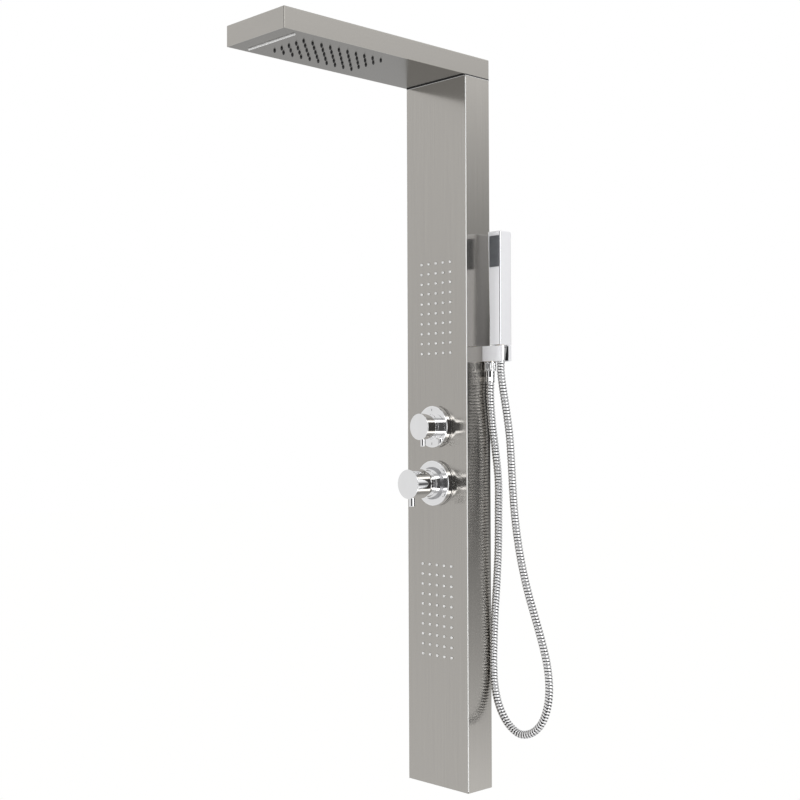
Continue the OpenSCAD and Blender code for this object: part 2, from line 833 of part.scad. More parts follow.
module diverter_sleeve() {
    color("silver") on_panel(diverter_z) difference() {
        union() {
            translate([0, 0, plate_thick - plate_wall])
                cylinder(r = diverter_neck_r + plate_hole_gap - thread_gap, h = plate_wall);
            translate([0, 0, plate_thick]) cylinder(r = diverter_r, h = diverter_collar, $fn = 96);
        }
        cylinder(r = diverter_neck_r + fit, h = plate_thick + diverter_collar - collar_skin);
        cylinder(r = rotor_r, h = plate_thick + diverter_collar + cut);
    }
}

module diverter_handle() {
    wall = diverter_wall;
    color("gainsboro") on_panel(diverter_z) {
        difference() {
            translate([0, 0, diverter_back]) cylinder(r = diverter_r, h = diverter_length, $fn = 96);
            translate([0, 0, diverter_back - cut])
                cylinder(r = diverter_r - wall, h = diverter_length - knob_face + cut);
            translate([0, -diverter_r + wall + cut, diverter_front - peg_back]) rotate([90, 0, 0])
                cylinder(r = diverter_peg_r + fit, h = wall + 2 * cut, $fn = 48);
        }
        difference() {
            translate([0, 0, diverter_back + cut]) cylinder(r = hub_r, h = diverter_length - 2 * cut);
            translate([0, 0, diverter_back])
                cylinder(r = spindle_r + fit, h = spindle_grip + spindle_end_gap);
        }
    }
}

module diverter_peg() {
    color("gainsboro") on_panel(diverter_z) translate([0, -diverter_r + diverter_wall - peg_set, 0])
        knob_peg(diverter_peg_r, diverter_peg_long, diverter_front - peg_back);
}

// ---------- Mixer ----------

module mixer_body() {
    bar_half_w = union_x + bar_end;
    color("peru") difference() {
        union() {
            on_panel(mixer_z) {
                translate([0, 0, front_y - body_back_y])
                    cylinder(r = mixer_neck_r + body_wall, h = body_back_y - inner_front_y);
                translate([0, 0, -sheet - cut]) cylinder(r = mixer_neck_r, h = neck_front + sheet + cut);
            }
            translate([-bar_half_w, body_back_y - cut, mixer_z - bar_half_h])
                cube([2 * bar_half_w, pipe_y + pipe_r + pipe_wall - body_back_y, 2 * bar_half_h]);
            translate([0, pipe_y, mixer_z]) cylinder(r = pipe_r + pipe_wall, h = mixer_boss_top - mixer_z);
        }
        on_panel(mixer_z) translate([0, 0, -mixer_core_depth])
            cylinder(r = mixer_core_r + fit, h = mixer_core_depth + core_clear);
        for (side = [-1, 1]) translate([side * union_x, pipe_y, mixer_z - bar_half_h - cut])
            cylinder(r = union_socket_r + fit, h = union_socket + cut);
        translate([-union_x, pipe_y, mixer_z]) rotate([0, 90, 0])
            cylinder(r = bar_bore_r, h = 2 * union_x);
        translate([0, pipe_y, mixer_z]) cylinder(r = pipe_r - pipe_wall, h = bar_half_h + core_clear);
    }
}

// Male union that a supply hose screws on to from below
module inlet_union(x) {
    low = -union_nut - union_thread;
    color("gainsboro") translate([x, pipe_y, mixer_z - bar_half_h]) difference() {
        union() {
            cylinder(r = union_socket_r, h = union_seat);
            translate([0, 0, -union_nut]) cylinder(r = union_nut_r, h = union_nut, $fn = 6);
            translate([0, 0, low]) cylinder(r = inlet_r, h = union_thread + nut_edge);
        }
        translate([0, 0, low - cut]) cylinder(r = union_bore_r, h = union_seat - low + 2 * cut);
    }
}

module hot_inlet_union() { inlet_union(-union_x); }

module cold_inlet_union() { inlet_union(union_x); }

module mixer_cartridge() {
    color("khaki") on_panel(mixer_z) difference() {
        translate([0, 0, -mixer_core_depth])
            cylinder(r = mixer_core_r, h = mixer_core_depth + mixer_core_front);
        translate([0, 0, -guide_back - edge_gap])
            cylinder(r = guide_r + fit, h = guide_back + edge_gap + mixer_core_front + cut);
    }
}

module mixer_lock_nut() {
    color("goldenrod") on_panel(mixer_z) pipe(mixer_neck_r + mixer_nut_wall, mixer_neck_r + fit, 0, lock_nut);
}

// Turning guide, forked round the stem that pivots in it
module mixer_guide() {
    fork = stem_r + fork_gap;
    color("tan") on_panel(mixer_z) difference() {
        translate([0, 0, -guide_back]) cylinder(r = guide_r, h = pivot_out + guide_over + guide_back);
        translate([-fork, -guide_r - cut, pivot_out - fork_back])
            cube([2 * fork, 2 * (guide_r + cut), fork_room]);
        translate([-guide_r - cut, 0, pivot_out]) rotate([0, 90, 0])
            cylinder(r = trunnion_r + fit, h = 2 * (guide_r + cut), $fn = 32);
    }
}

module mixer_spindle() {
    color("darkkhaki") on_panel(mixer_z) {
        translate([0, 0, pivot_out - stem_back])
            cylinder(r = stem_r, h = dome_r + stem_back + stem_grip);
        translate([-guide_r + trunnion_set, 0, pivot_out]) rotate([0, 90, 0])
            cylinder(r = trunnion_r, h = 2 * (guide_r - trunnion_set), $fn = 32);
    }
}

module mixer_gasket() {
    color("dimgray") on_panel(mixer_z) pipe(mixer_plate_r - 1, mixer_neck_r + cavity_gap, 0, gasket);
}

module mixer_escutcheon() {
    color("gainsboro") on_panel(mixer_z)
        escutcheon(mixer_plate_r, mixer_neck_r + plate_hole_gap, mixer_neck_r + cavity_gap);
}

module mixer_trim_ring() {
    color("darkgray") on_panel(mixer_z)
        pipe(mixer_r + trim_rim, dome_r + thread_gap, plate_thick, plate_thick + trim_ring);
}

// Fixed sleeve with a collar behind and a dome in front, which the tilting handle's bore clears
module mixer_sleeve() {
    skin = dome_skin;
    color("silver") on_panel(mixer_z) difference() {
        union() {
            translate([0, 0, plate_thick - plate_wall])
                cylinder(r = dome_r, h = pivot_out - plate_thick + plate_wall);
            translate([0, 0, plate_thick + trim_ring]) cylinder(r = mixer_r, h = mixer_collar, $fn = 96);
            difference() {
                translate([0, 0, pivot_out]) sphere(r = dome_r, $fn = 96);
                translate([-dome_r - cut, -dome_r - cut, pivot_out - dome_r - cut])
                    cube([2 * (dome_r + cut), 2 * (dome_r + cut), dome_r + cut]);
            }
        }
        translate([0, 0, plate_thick - plate_wall - cut])
            cylinder(r = mixer_neck_r + fit, h = trim_ring + cut);
        cylinder(r = dome_r - skin, h = pivot_out);
        translate([0, 0, pivot_out]) sphere(r = dome_r - skin, $fn = 96);
        translate([0, 0, pivot_out]) cylinder(r = dome_hole_r, h = dome_r + cut);
    }
}

module mixer_handle() {
    wall = mixer_r - dome_r - dome_gap;
    hub_start = pivot_out + dome_r + hub_gap;
    stem_end = pivot_out + dome_r + stem_grip + spindle_end_gap;
    color("gainsboro") on_panel(mixer_z) {
        difference() {
            translate([0, 0, mixer_back]) cylinder(r = mixer_r, h = mixer_length, $fn = 96);
            translate([0, 0, mixer_back - cut])
                cylinder(r = dome_r + dome_gap, h = mixer_length - knob_face + cut);
            translate([0, -mixer_r + wall + cut, mixer_front - peg_back]) rotate([90, 0, 0])
                cylinder(r = mixer_peg_r + fit, h = wall + 2 * cut, $fn = 48);
        }
        difference() {
            translate([0, 0, hub_start]) cylinder(r = hub_r, h = mixer_front - hub_start - cut);
            translate([0, 0, hub_start - cut]) cylinder(r = stem_r + fit, h = stem_end - hub_start + cut);
        }
    }
}

module mixer_peg() {
    color("gainsboro") on_panel(mixer_z) translate([0, -dome_r - dome_gap - peg_set, 0])
        knob_peg(mixer_peg_r, mixer_peg_long, mixer_front - peg_back);
}

module mixer_outlet_pipe() {
    color("burlywood") translate([0, pipe_y, 0])
        pipe(pipe_r, pipe_r - pipe_wall, mixer_boss_top, diverter_z - manifold_top);
}

// ---------- Feed hoses ----------

// Last climb into the head, and the run forward to y_end
module head_run(x, z_start, y_end) {
    translate([x, feed_y, 0]) feed_run(z_start, climb_top);
    translate([x, feed_y, climb_top]) rotate([0, 0, -90]) elbow();
    translate([x, y_end, head_hose_z]) rotate([-90, 0, 0]) feed_run(0, feed_y - feed_bend - y_end);
}

module rain_feed_hose() {
    color("lightgray")
        head_run(-top_hose_x, manifold_top_z, rain_y + span_y(rain_pitch) + rim_margin);
}

module waterfall_feed_hose() {
    reach = side_hose_x - manifold_half_w - feed_bend;
    color("lightgray") {
        translate([-manifold_half_w, feed_y, diverter_z]) rotate([0, -90, 0]) {
            feed_run(0, reach);
            translate([0, 0, reach]) elbow();
        }
        head_run(-side_hose_x, diverter_z + feed_bend, fall_y + fall_body / 2);
    }
}

module upper_jet_feed_hose() {
    color("lightgray") translate([0, feed_y, 0])
        feed_run(manifold_top_z, upper_jets_z - span_y(jet_pitch) - rim_margin);
}

module lower_jet_feed_hose() {
    reach = side_hose_x - manifold_half_w - feed_bend;
    color("lightgray") {
        translate([manifold_half_w, feed_y, diverter_z]) rotate([0, 90, 0]) {
            feed_run(0, reach);
            translate([0, 0, reach]) elbow();
        }
        translate([side_hose_x, feed_y, 0])
            feed_run(lower_jets_z + span_y(jet_pitch) + rim_margin, diverter_z - feed_bend);
    }
}

module handset_feed_hose() {
    climb = supply_z - feed_bend - manifold_top_z;
    color("lightgray") translate([top_hose_x, feed_y, manifold_top_z]) {
        feed_run(0, climb);
        translate([0, 0, climb]) elbow();
        translate([feed_bend, 0, climb + feed_bend]) rotate([0, 90, 0])
            feed_run(0, supply_shoulder_x - top_hose_x - feed_bend);
    }
}

// ---------- Bracket and shower hose ----------

// Turned solid from z_low to z_high: a cone that widens through the bracket, then a straight stretch
module seat_shape(grow, z_low, z_high) {
    low_r = seat_low_r + grow;
    top_r = seat_top_r + grow;
    taper_top = bracket_top - seat_straight;
    slope = (top_r - low_r) / (taper_top - bracket_z);
    start_z = max(z_low, bracket_z);
    rotate_extrude() polygon([
        [0, z_low], [low_r + slope * (start_z - bracket_z), z_low],
        [low_r + slope * (start_z - bracket_z), start_z], [top_r, taper_top], [top_r, z_high], [0, z_high]
    ]);
}

// Block with a tapered seat for the hose's cone, open at its end so that the hose passes in
module bracket_block() {
    color("gainsboro") difference() {
        translate([half_w, grip_y - bracket_depth / 2, bracket_z])
            cube([bracket_reach, bracket_depth, bracket_height]);
        translate([seat_x, grip_y, 0]) seat_shape(0, bracket_z - cut, bracket_top + cut);
        translate([seat_x, grip_y - slot_width / 2, bracket_z - cut])
            cube([bracket_reach, slot_width, bracket_height + 2 * cut]);
        translate([half_w - cut, feed_y, supply_z]) rotate([0, 90, 0])
            cylinder(r = feed_r + fit, h = supply_seat + cut);
        translate([half_w, feed_y, supply_z]) rotate([0, 90, 0])
            cylinder(r = supply_bore_r, h = outlet_x - half_w + 2 * cut);
        translate([outlet_x, feed_y, bracket_z])
            cylinder(r = outlet_bore_r, h = supply_z + cut - bracket_z);
        translate([outlet_x, feed_y, bracket_z - cut])
            cylinder(r = nipple_r + fit, h = nipple_set + cut);
    }
}

module bracket_supply_nipple() {
    color("khaki") translate([supply_shoulder_x, feed_y, supply_z]) rotate([0, 90, 0]) {
        pipe(feed_r, spigot_bore_r, 0, half_w + supply_seat - edge_gap - supply_shoulder_x);
        rotate([180, 0, 0]) spigot(cut / 2);
    }
}

module bracket_lock_nut() {
    color("goldenrod") translate([inner_half_w - bracket_nut, feed_y, supply_z])
        rotate([0, 90, 0]) difference() {
            cylinder(r = bracket_nut_r, h = bracket_nut, $fn = 6);
            translate([0, 0, -cut]) cylinder(r = feed_r + fit, h = bracket_nut + 2 * cut);
        }
}

module bracket_outlet_nipple() {
    color("silver") translate([outlet_x, feed_y, 0])
        pipe(nipple_r, outlet_bore_r, bracket_z - nipple_drop, bracket_z + nipple_set - edge_gap);
}

module hose_outlet_nut() {
    color("gainsboro") translate([outlet_x, feed_y, 0]) difference() {
        translate([0, 0, outlet_nut_z])
            cylinder(r = outlet_nut_r, h = bracket_z - swivel_gap - outlet_nut_z);
        translate([0, 0, outlet_nut_z + outlet_nut_floor])
            cylinder(r = nipple_r + fit, h = bracket_z - outlet_nut_z);
        translate([0, 0, outlet_nut_z - cut])
            cylinder(r = hose_r + outlet_ferrule_wall + fit, h = outlet_nut_floor + 2 * cut);
    }
}

module hose_outlet_ferrule() {
    color("silver") translate([outlet_x, feed_y, 0]) {
        pipe(hose_r + outlet_ferrule_wall, ferrule_bore_r, outlet_ferrule_z,
            outlet_nut_z + outlet_nut_floor + edge_gap);
        pipe(nipple_r, ferrule_bore_r, outlet_nut_z + outlet_nut_floor, bracket_z - nipple_drop);
    }
}

module shower_hose() {
    last = len(hose_route) - 1;
    rings = [
        for (i = [0:last]) ring(hose_route[i], heading(hose_route, i), hose_r, hose_sides)
    ];
    walls = [
        for (i = [0:last - 1], k = [0:hose_sides - 1])
            let (next = (k + 1) % hose_sides, near = i * hose_sides, far = near + hose_sides)
            [near + k, near + next, far + next, far + k]
    ];
    first_cap = [for (k = [0:hose_sides - 1]) hose_sides - 1 - k];
    last_cap = [for (k = [0:hose_sides - 1]) last * hose_sides + k];
    color("lightgray")
        polyhedron(points = [for (r = rings) each r], faces = concat(walls, [first_cap, last_cap]));
}

module hose_end_ferrule() {
    color("silver") translate([seat_x, grip_y, 0]) {
        pipe(hose_r + end_ferrule_wall, ferrule_bore_r, bracket_z, bracket_z + end_ferrule);
        pipe(nipple_r - end_ferrule_wall, ferrule_bore_r, bracket_z + end_ferrule - edge_gap,
            washer_z - edge_gap);
    }
}

// Tapered nut at the handset's end of the hose, which drops into the bracket's seat
module hose_cone_nut() {
    floor_z = bracket_z + 1;
    color("gainsboro") translate([seat_x, grip_y, 0]) difference() {
        seat_shape(-seat_gap, floor_z, bracket_top + seat_proud);
        translate([0, 0, floor_z - cut])
            cylinder(r = hose_r + end_ferrule_wall + swivel_gap, h = nut_shoulder + cut);
        translate([0, 0, bracket_z + nut_shoulder])
            cylinder(r = nipple_r + fit, h = bracket_height);
    }
}

// ---------- Handset ----------

module handset_body() {
    skin = 2.5;
    corner = 2.5;
    front = grip_y - handset_depth / 2;
    color("silver") difference() {
        translate([seat_x, grip_y, handset_z]) linear_extrude(handset_length)
            soft_square(-handset_width / 2, -handset_depth / 2, handset_width / 2, handset_depth / 2, corner);
        translate([seat_x - handset_width / 2 + skin, front + 2 * skin, handset_z + inlet_set])
            cube([handset_width - 2 * skin, handset_depth - 3 * skin, handset_length - inlet_set - skin]);
        translate([seat_x, grip_y, handset_z - cut]) cylinder(r = nipple_r + fit, h = inlet_set + 3 * cut);
        translate([seat_x, 0, 0]) nozzle_block(cut);
    }
}

// The spray face's block, from a distance proud of the handset's front to the pocket's floor
module nozzle_block(proud) {
    translate([-nozzle_plate_width / 2, grip_y - handset_depth / 2 - proud, nozzle_low])
        cube([nozzle_plate_width, nozzle_plate_deep + proud, nozzle_plate_length]);
}

// Soft grey spray face with three columns of fine nozzles
module handset_nozzle_plate() {
    pitch = 4.6;
    rows = 11;
    middle_z = nozzle_low + nozzle_plate_length / 2;
    face_y = grip_y - handset_depth / 2 - nozzle_plate_proud;
    color("dimgray") translate([seat_x, 0, 0]) {
        nozzle_block(nozzle_plate_proud);
        for (i = [-1:1], j = [0:rows - 1])
            translate([i * pitch, face_y + cut, middle_z + (j - (rows - 1) / 2) * pitch])
                rotate([90, 0, 0]) cylinder(r = fine_nozzle_r, h = cut + fine_nozzle_tall, $fn = 16);
    }
}

module handset_inlet() {
    color("khaki") translate([seat_x, grip_y, 0]) {
        pipe(nipple_r, outlet_bore_r, washer_z + washer, handset_z + inlet_set);
        pipe(nipple_r + inlet_flange, outlet_bore_r, handset_z + inlet_set,
            handset_z + inlet_set + washer + edge_gap);
    }
}

module handset_washer() {
    color("black") translate([seat_x, grip_y, 0])
        pipe(nipple_r - hole_gap, ferrule_bore_r, washer_z, washer_z + washer);
}

// ---------- Assembly ----------

column_shell();
column_bottom_cap();
neck_gasket();
head_bolts();
rear_rail_upper();
rear_rail_lower();
rail_screws();
wall_hanger_upper();
wall_hanger_lower();
head_shell();
head_base_plate();
rain_nozzle_mat();
rain_water_chamber();
waterfall_spout();
upper_jet_mat();
upper_jet_chamber();
lower_jet_mat();
lower_jet_chamber();
panel_nuts();
diverter_body();
diverter_cartridge();
diverter_lock_nut();
diverter_spindle();
diverter_gasket();
diverter_escutcheon();
diverter_sleeve();
diverter_handle();
diverter_peg();
mixer_body();
hot_inlet_union();
cold_inlet_union();
mixer_cartridge();
mixer_lock_nut();
mixer_guide();
mixer_spindle();
mixer_gasket();
mixer_escutcheon();
mixer_trim_ring();
mixer_sleeve();
mixer_handle();
mixer_peg();
mixer_outlet_pipe();
rain_feed_hose();
waterfall_feed_hose();
upper_jet_feed_hose();
lower_jet_feed_hose();
handset_feed_hose();
bracket_block();
bracket_supply_nipple();
bracket_lock_nut();
bracket_outlet_nipple();
hose_outlet_nut();
hose_outlet_ferrule();
shower_hose();
hose_end_ferrule();
hose_cone_nut();
handset_body();
handset_nozzle_plate();
handset_inlet();
handset_washer();
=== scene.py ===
"""Rainfall shower column: detailed pieces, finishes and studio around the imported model.

Everything is in metres, in the model's own frame. +Z is up, the wall is the plane y = 0, and a
person stands on the -Y side. Sizes that the model already holds are read from its nodes' boxes.
"""

from __future__ import annotations

import logging
import math
from dataclasses import dataclass
from enum import Enum

import bmesh
import bpy
import numpy as np
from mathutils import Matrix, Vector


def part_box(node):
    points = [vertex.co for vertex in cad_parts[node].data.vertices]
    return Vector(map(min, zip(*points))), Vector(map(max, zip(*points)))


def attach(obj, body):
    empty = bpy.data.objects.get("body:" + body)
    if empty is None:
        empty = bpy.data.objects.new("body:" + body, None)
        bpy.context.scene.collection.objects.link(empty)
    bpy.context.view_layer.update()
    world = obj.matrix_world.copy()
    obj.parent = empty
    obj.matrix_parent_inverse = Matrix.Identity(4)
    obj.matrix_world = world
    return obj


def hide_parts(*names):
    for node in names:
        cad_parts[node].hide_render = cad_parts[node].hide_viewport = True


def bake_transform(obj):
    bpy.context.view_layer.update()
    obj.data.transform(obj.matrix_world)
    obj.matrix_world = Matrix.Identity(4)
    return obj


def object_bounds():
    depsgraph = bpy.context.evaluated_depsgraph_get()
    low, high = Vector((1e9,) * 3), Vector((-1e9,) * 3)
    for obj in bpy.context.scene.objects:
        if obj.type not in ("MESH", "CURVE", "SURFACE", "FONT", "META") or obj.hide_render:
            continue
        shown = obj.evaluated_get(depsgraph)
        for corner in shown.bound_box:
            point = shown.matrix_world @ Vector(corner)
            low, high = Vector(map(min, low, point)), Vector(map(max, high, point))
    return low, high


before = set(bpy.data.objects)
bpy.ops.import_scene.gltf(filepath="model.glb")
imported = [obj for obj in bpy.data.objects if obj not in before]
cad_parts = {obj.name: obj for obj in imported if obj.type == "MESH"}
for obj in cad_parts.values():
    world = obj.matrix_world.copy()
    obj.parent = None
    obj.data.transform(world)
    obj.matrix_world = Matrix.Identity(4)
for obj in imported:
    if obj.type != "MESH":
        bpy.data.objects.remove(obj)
CAD_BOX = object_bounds()
FULL_TURN = 2.0 * math.pi
MM = 0.001
# Decimal places of a metre that a box's numbers are good for
BOX_PLACES = 6
# Distance beyond an arc of the point that keeps the straight beside it flat to the eye
GUARD = 0.00015
# Corner radius that is left when an inset would take it all
LEAST_RADIUS = 0.00002
# Points nearer than this are joined into one
MERGE_WITHIN = 0.000001
# Range that most of a noise's values fall in
NOISE_MIDDLE = (0.3, 0.7)
LOG = logging.getLogger("shower_column")


# ---------------------------------------------------------------- finishes


class Grain(Enum):
    """Way that brushing runs over a sheet, with the axis its reflections spread around."""

    UP = ((1.0, 1.0, 0.006), "Z")
    FORWARD = ((1.0, 0.006, 1.0), "Y")

    @property
    def stretch(self) -> tuple[float, float, float]:
        """Share of the noise's scale left along each axis."""
        return self.value[0]

    @property
    def spread_axis(self) -> str:
        """Axis of the radial tangent, which crosses the grain on every face along it."""
        return self.value[1]


class Shader:
    """A material's node tree, with one Principled shader and short calls for what feeds it."""

    def __init__(self, name: str) -> None:
        """Makes the material.

        Args:
            name: the material's name.
        """
        self.material = bpy.data.materials.new(name)
        self.material.use_nodes = True
        self.tree = self.material.node_tree
        self.bsdf = self.tree.nodes["Principled BSDF"]

    def set(self, **values: float) -> None:
        """Sets the Principled shader's own sockets.

        Args:
            values: socket names in lower case, and their values.
        """
        for key, value in values.items():
            self.bsdf.inputs[key.title()].default_value = value

    def node(self, kind: str, **inputs: object) -> bpy.types.Node:
        """Adds a node and fills or links its inputs.

        Args:
            kind: Blender's node type.
            inputs: input names in lower case with underscores; a socket is linked, a value is set.

        Returns:
            The new node.
        """
        made = self.tree.nodes.new(kind)
        for key, value in inputs.items():
            socket = made.inputs[key.replace("_", " ").title()]
            if isinstance(value, bpy.types.NodeSocket):
                self.tree.links.new(value, socket)
            else:
                socket.default_value = value
        return made

    def place(
        self,
        scale: tuple[float, float, float],
        rotation: tuple[float, float, float] = (0.0, 0.0, 0.0),
    ) -> bpy.types.NodeSocket:
        """Object coordinates, stretched and turned by a Mapping node.

        Args:
            scale: the share kept along each axis.
            rotation: the turn about each axis, in radians.

        Returns:
            The vector socket.
        """
        source = self.node("ShaderNodeTexCoord").outputs["Object"]
        mapping = self.node("ShaderNodeMapping", vector=source, scale=scale, rotation=rotation)
        return mapping.outputs[0]

    def noise(
        self, scale: float, detail: float, stretch: tuple[float, float, float] = (1.0, 1.0, 1.0)
    ) -> bpy.types.NodeSocket:
        """Noise on Object coordinates.

        Args:
            scale: noise cells per metre.
            detail: octaves.
            stretch: share of the scale kept along each axis.

        Returns:
            The noise value's socket.
        """
        texture = self.node(
            "ShaderNodeTexNoise", vector=self.place(stretch), scale=scale, detail=detail
        )
        return texture.outputs[0]

    def average(
        self, first: bpy.types.NodeSocket, second: bpy.types.NodeSocket
    ) -> bpy.types.NodeSocket:
        """Mean of two values, first / 2 + second / 2.

        Args:
            first: one value's socket.
            second: the other value's socket.

        Returns:
            The mean's socket.
        """
        half = self.node("ShaderNodeMath")
        half.operation = "MULTIPLY"
        both = self.node("ShaderNodeMath")
        both.operation = "MULTIPLY_ADD"
        for maths, value in ((half, first), (both, second)):
            self.tree.links.new(value, maths.inputs[0])
            maths.inputs[1].default_value = 0.5
        self.tree.links.new(half.outputs[0], both.inputs[2])
        return both.outputs[0]

    def mark(self, name: str) -> bpy.types.NodeSocket:
        """Value that the mesh itself carries under a name.

        Args:
            name: the mesh attribute's name.

        Returns:
            The value's socket.
        """
        made = self.node("ShaderNodeAttribute")
        made.attribute_name = name
        return made.outputs["Fac"]

    def spread(
        self,
        value: bpy.types.NodeSocket,
        low: float,
        high: float,
        between: tuple[float, float] = NOISE_MIDDLE,
    ) -> bpy.types.NodeSocket:
        """Maps a range of a value on to low to high.

        Args:
            value: the value's socket.
            low: result at the start of the range.
            high: result at its end.
            between: the range, by default the middle of a noise's.

        Returns:
            The mapped value's socket.
        """
        made = self.node("ShaderNodeMapRange", value=value)
        for index, number in enumerate((*between, low, high), start=1):
            made.inputs[index].default_value = number
        return made.outputs[0]

    def colours(
        self,
        value: bpy.types.NodeSocket,
        low: tuple[float, float, float],
        high: tuple[float, float, float],
        between: tuple[float, float] = NOISE_MIDDLE,
    ) -> bpy.types.NodeSocket:
        """Colour that runs from low to high as a value does.

        Args:
            value: the socket that drives it.
            low: colour at the start of the range.
            high: colour at its end.
            between: the range, by default the middle of a noise's.

        Returns:
            The colour's socket.
        """
        ramp = self.node("ShaderNodeValToRGB", fac=value)
        for element, where, colour in zip(ramp.color_ramp.elements, between, (low, high)):
            element.position = where
            element.color = (*colour, 1.0)
        return ramp.outputs[0]

    def feed(self, socket: str, value: bpy.types.NodeSocket) -> None:
        """Links a value to one of the Principled shader's sockets.

        Args:
            socket: the socket's name.
            value: what feeds it.
        """
        self.tree.links.new(value, self.bsdf.inputs[socket])

    def relief(self, height: bpy.types.NodeSocket, depth: float, strength: float) -> None:
        """Bumps the surface.

        Args:
            height: the height's socket, 0 to 1.
            depth: what a height of 1 stands for, in metres.
            strength: share of the bump that is used.
        """
        bump = self.node("ShaderNodeBump", height=height, distance=depth, strength=strength)
        self.feed("Normal", bump.outputs[0])


@dataclass(frozen=True)
class BrushedSteel:
    """Stainless sheet with a fine straight grain that smears reflections across it."""

    grain: Grain
    name: str = "brushed_steel"
    slot: str = "brushed_steel"
    tone: float = 0.48
    roughness: float = 0.16
    warmth: tuple[float, float, float] = (1.0, 0.962, 0.90)
    fine_scale: float = 5200.0
    coarse_scale: float = 900.0
    streak_tones: tuple[float, float] = (0.93, 1.06)
    streak_gloss: tuple[float, float] = (-0.03, 0.04)
    relief_depth: float = 0.000002
    relief_share: float = 0.03
    smear: float = 0.85

    def material(self) -> bpy.types.Material:
        """Fine and coarse streaks vary the colour, the gloss and the relief.

        Returns:
            The material.
        """
        shader = Shader(f"{self.name}_{self.grain.name.lower()}")
        streaks = shader.average(
            shader.noise(self.fine_scale, 2.0, self.grain.stretch),
            shader.noise(self.coarse_scale, 3.0, self.grain.stretch),
        )
        dim, pale = (
            tuple(share * self.tone * part for part in self.warmth) for share in self.streak_tones
        )
        shader.feed("Base Color", shader.colours(streaks, dim, pale))
        bright, dull = (self.roughness + change for change in self.streak_gloss)
        shader.feed("Roughness", shader.spread(streaks, bright, dull))
        shader.relief(streaks, self.relief_depth, self.relief_share)
        shader.set(metallic=1.0, anisotropic=self.smear)
        tangent = shader.node("ShaderNodeTangent")
        tangent.direction_type = "RADIAL"
        tangent.axis = self.grain.spread_axis
        shader.feed("Tangent", tangent.outputs[0])
        return shader.material


@dataclass(frozen=True)
class Polished:
    """Bright plated metal whose gloss varies a little with handling."""

    slot: str = "polished_chrome"
    colour: tuple[float, float, float] = (0.93, 0.93, 0.935)
    roughness: float = 0.03
    worn: float = 0.025
    ripple: float = 0.00002
    haze_scale: float = 60.0
    ripple_scale: float = 28.0
    haze_tone: float = 0.97

    def material(self) -> bpy.types.Material:
        """Broad, soft noise moves the gloss, and a long shallow ripple bends the reflections.

        Returns:
            The material.
        """
        shader = Shader(f"polished_{self.slot}")
        haze = shader.noise(self.haze_scale, 4.0)
        shader.feed("Roughness", shader.spread(haze, self.roughness, self.roughness + self.worn))
        dim = tuple(self.haze_tone * part for part in self.colour)
        shader.feed("Base Color", shader.colours(haze, dim, self.colour))
        shader.relief(shader.noise(self.ripple_scale, 1.0), self.ripple, 0.5)
        shader.set(metallic=1.0)
        return shader.material


@dataclass(frozen=True)
class PearlChrome:
    """Plated plastic, mirror-bright except on its front and outer side, which are milky."""

    slot: str = "polished_chrome"
    colour: tuple[float, float, float] = (0.94, 0.94, 0.965)
    face_metal: float = 0.12
    roughness: float = 0.07
    worn: float = 0.04
    haze_scale: float = 70.0
    haze_tone: float = 0.975

    def material(self) -> bpy.types.Material:
        """The mesh's own mirror attribute turns the milky face into bright metal.

        Returns:
            The material.
        """
        shader = Shader("pearl_chrome")
        metal = shader.spread(shader.mark("mirror"), self.face_metal, 1.0, (0.0, 1.0))
        shader.feed("Metallic", metal)
        haze = shader.noise(self.haze_scale, 4.0)
        dim = tuple(self.haze_tone * part for part in self.colour)
        shader.feed("Base Color", shader.colours(haze, dim, self.colour))
        shader.feed("Roughness", shader.spread(haze, self.roughness, self.roughness + self.worn))
        return shader.material


@dataclass(frozen=True)
class SpiralSteel:
    """Interlocked steel band of the shower hose, with painted shade in the joints where its turns
    lock together.
    """

    slot: str = "hose_steel"
    crown: tuple[float, float, float] = (0.92, 0.92, 0.925)
    # Painted shade: near-black colour laid into the grooves between turns
    joint: tuple[float, float, float] = (0.02, 0.02, 0.021)
    # Groove depths over which the painted shade runs from the crown's colour to near black
    joint_shade_depths: tuple[float, float] = (0.25, 0.65)
    crown_roughness: float = 0.07
    joint_roughness: float = 0.45
    skin_scale: float = 900.0
    skin_depth: float = 0.00002

    def material(self) -> bpy.types.Material:
        """The mesh's own groove attribute dulls the joint between turns and darkens its colour with
        painted shade.

        Returns:
            The material.
        """
        shader = Shader("hose_spiral_steel")
        depth = shader.mark("groove")
        colour = shader.colours(depth, self.crown, self.joint, self.joint_shade_depths)
        shader.feed("Base Color", colour)
        rough = shader.spread(depth, self.crown_roughness, self.joint_roughness, (0.0, 1.0))
        shader.feed("Roughness", rough)
        shader.relief(shader.noise(self.skin_scale, 2.0), self.skin_depth, 0.4)
        shader.set(metallic=1.0)
        return shader.material


@dataclass(frozen=True)
class Moulded:
    """Moulded plastic, silicone or rubber with a faint mottle and a fine skin."""

    slot: str
    dark: tuple[float, float, float]
    light: tuple[float, float, float]
    roughness: float = 0.4
    gloss_change: tuple[float, float] = (-0.05, 0.07)
    mottle_scale: float = 90.0
    skin_scale: float = 700.0
    skin_depth: float = 0.00002

    def material(self) -> bpy.types.Material:
        """Mottled colour, gloss that follows it, and a fine moulded skin.

        Returns:
            The material.
        """
        shader = Shader(f"moulded_{self.slot}")
        mottle = shader.noise(self.mottle_scale, 3.0)
        shader.feed("Base Color", shader.colours(mottle, self.dark, self.light))
        bright, dull = (self.roughness + change for change in self.gloss_change)
        shader.feed("Roughness", shader.spread(mottle, bright, dull))
        shader.relief(shader.noise(self.skin_scale, 3.0), self.skin_depth, 0.6)
        return shader.material


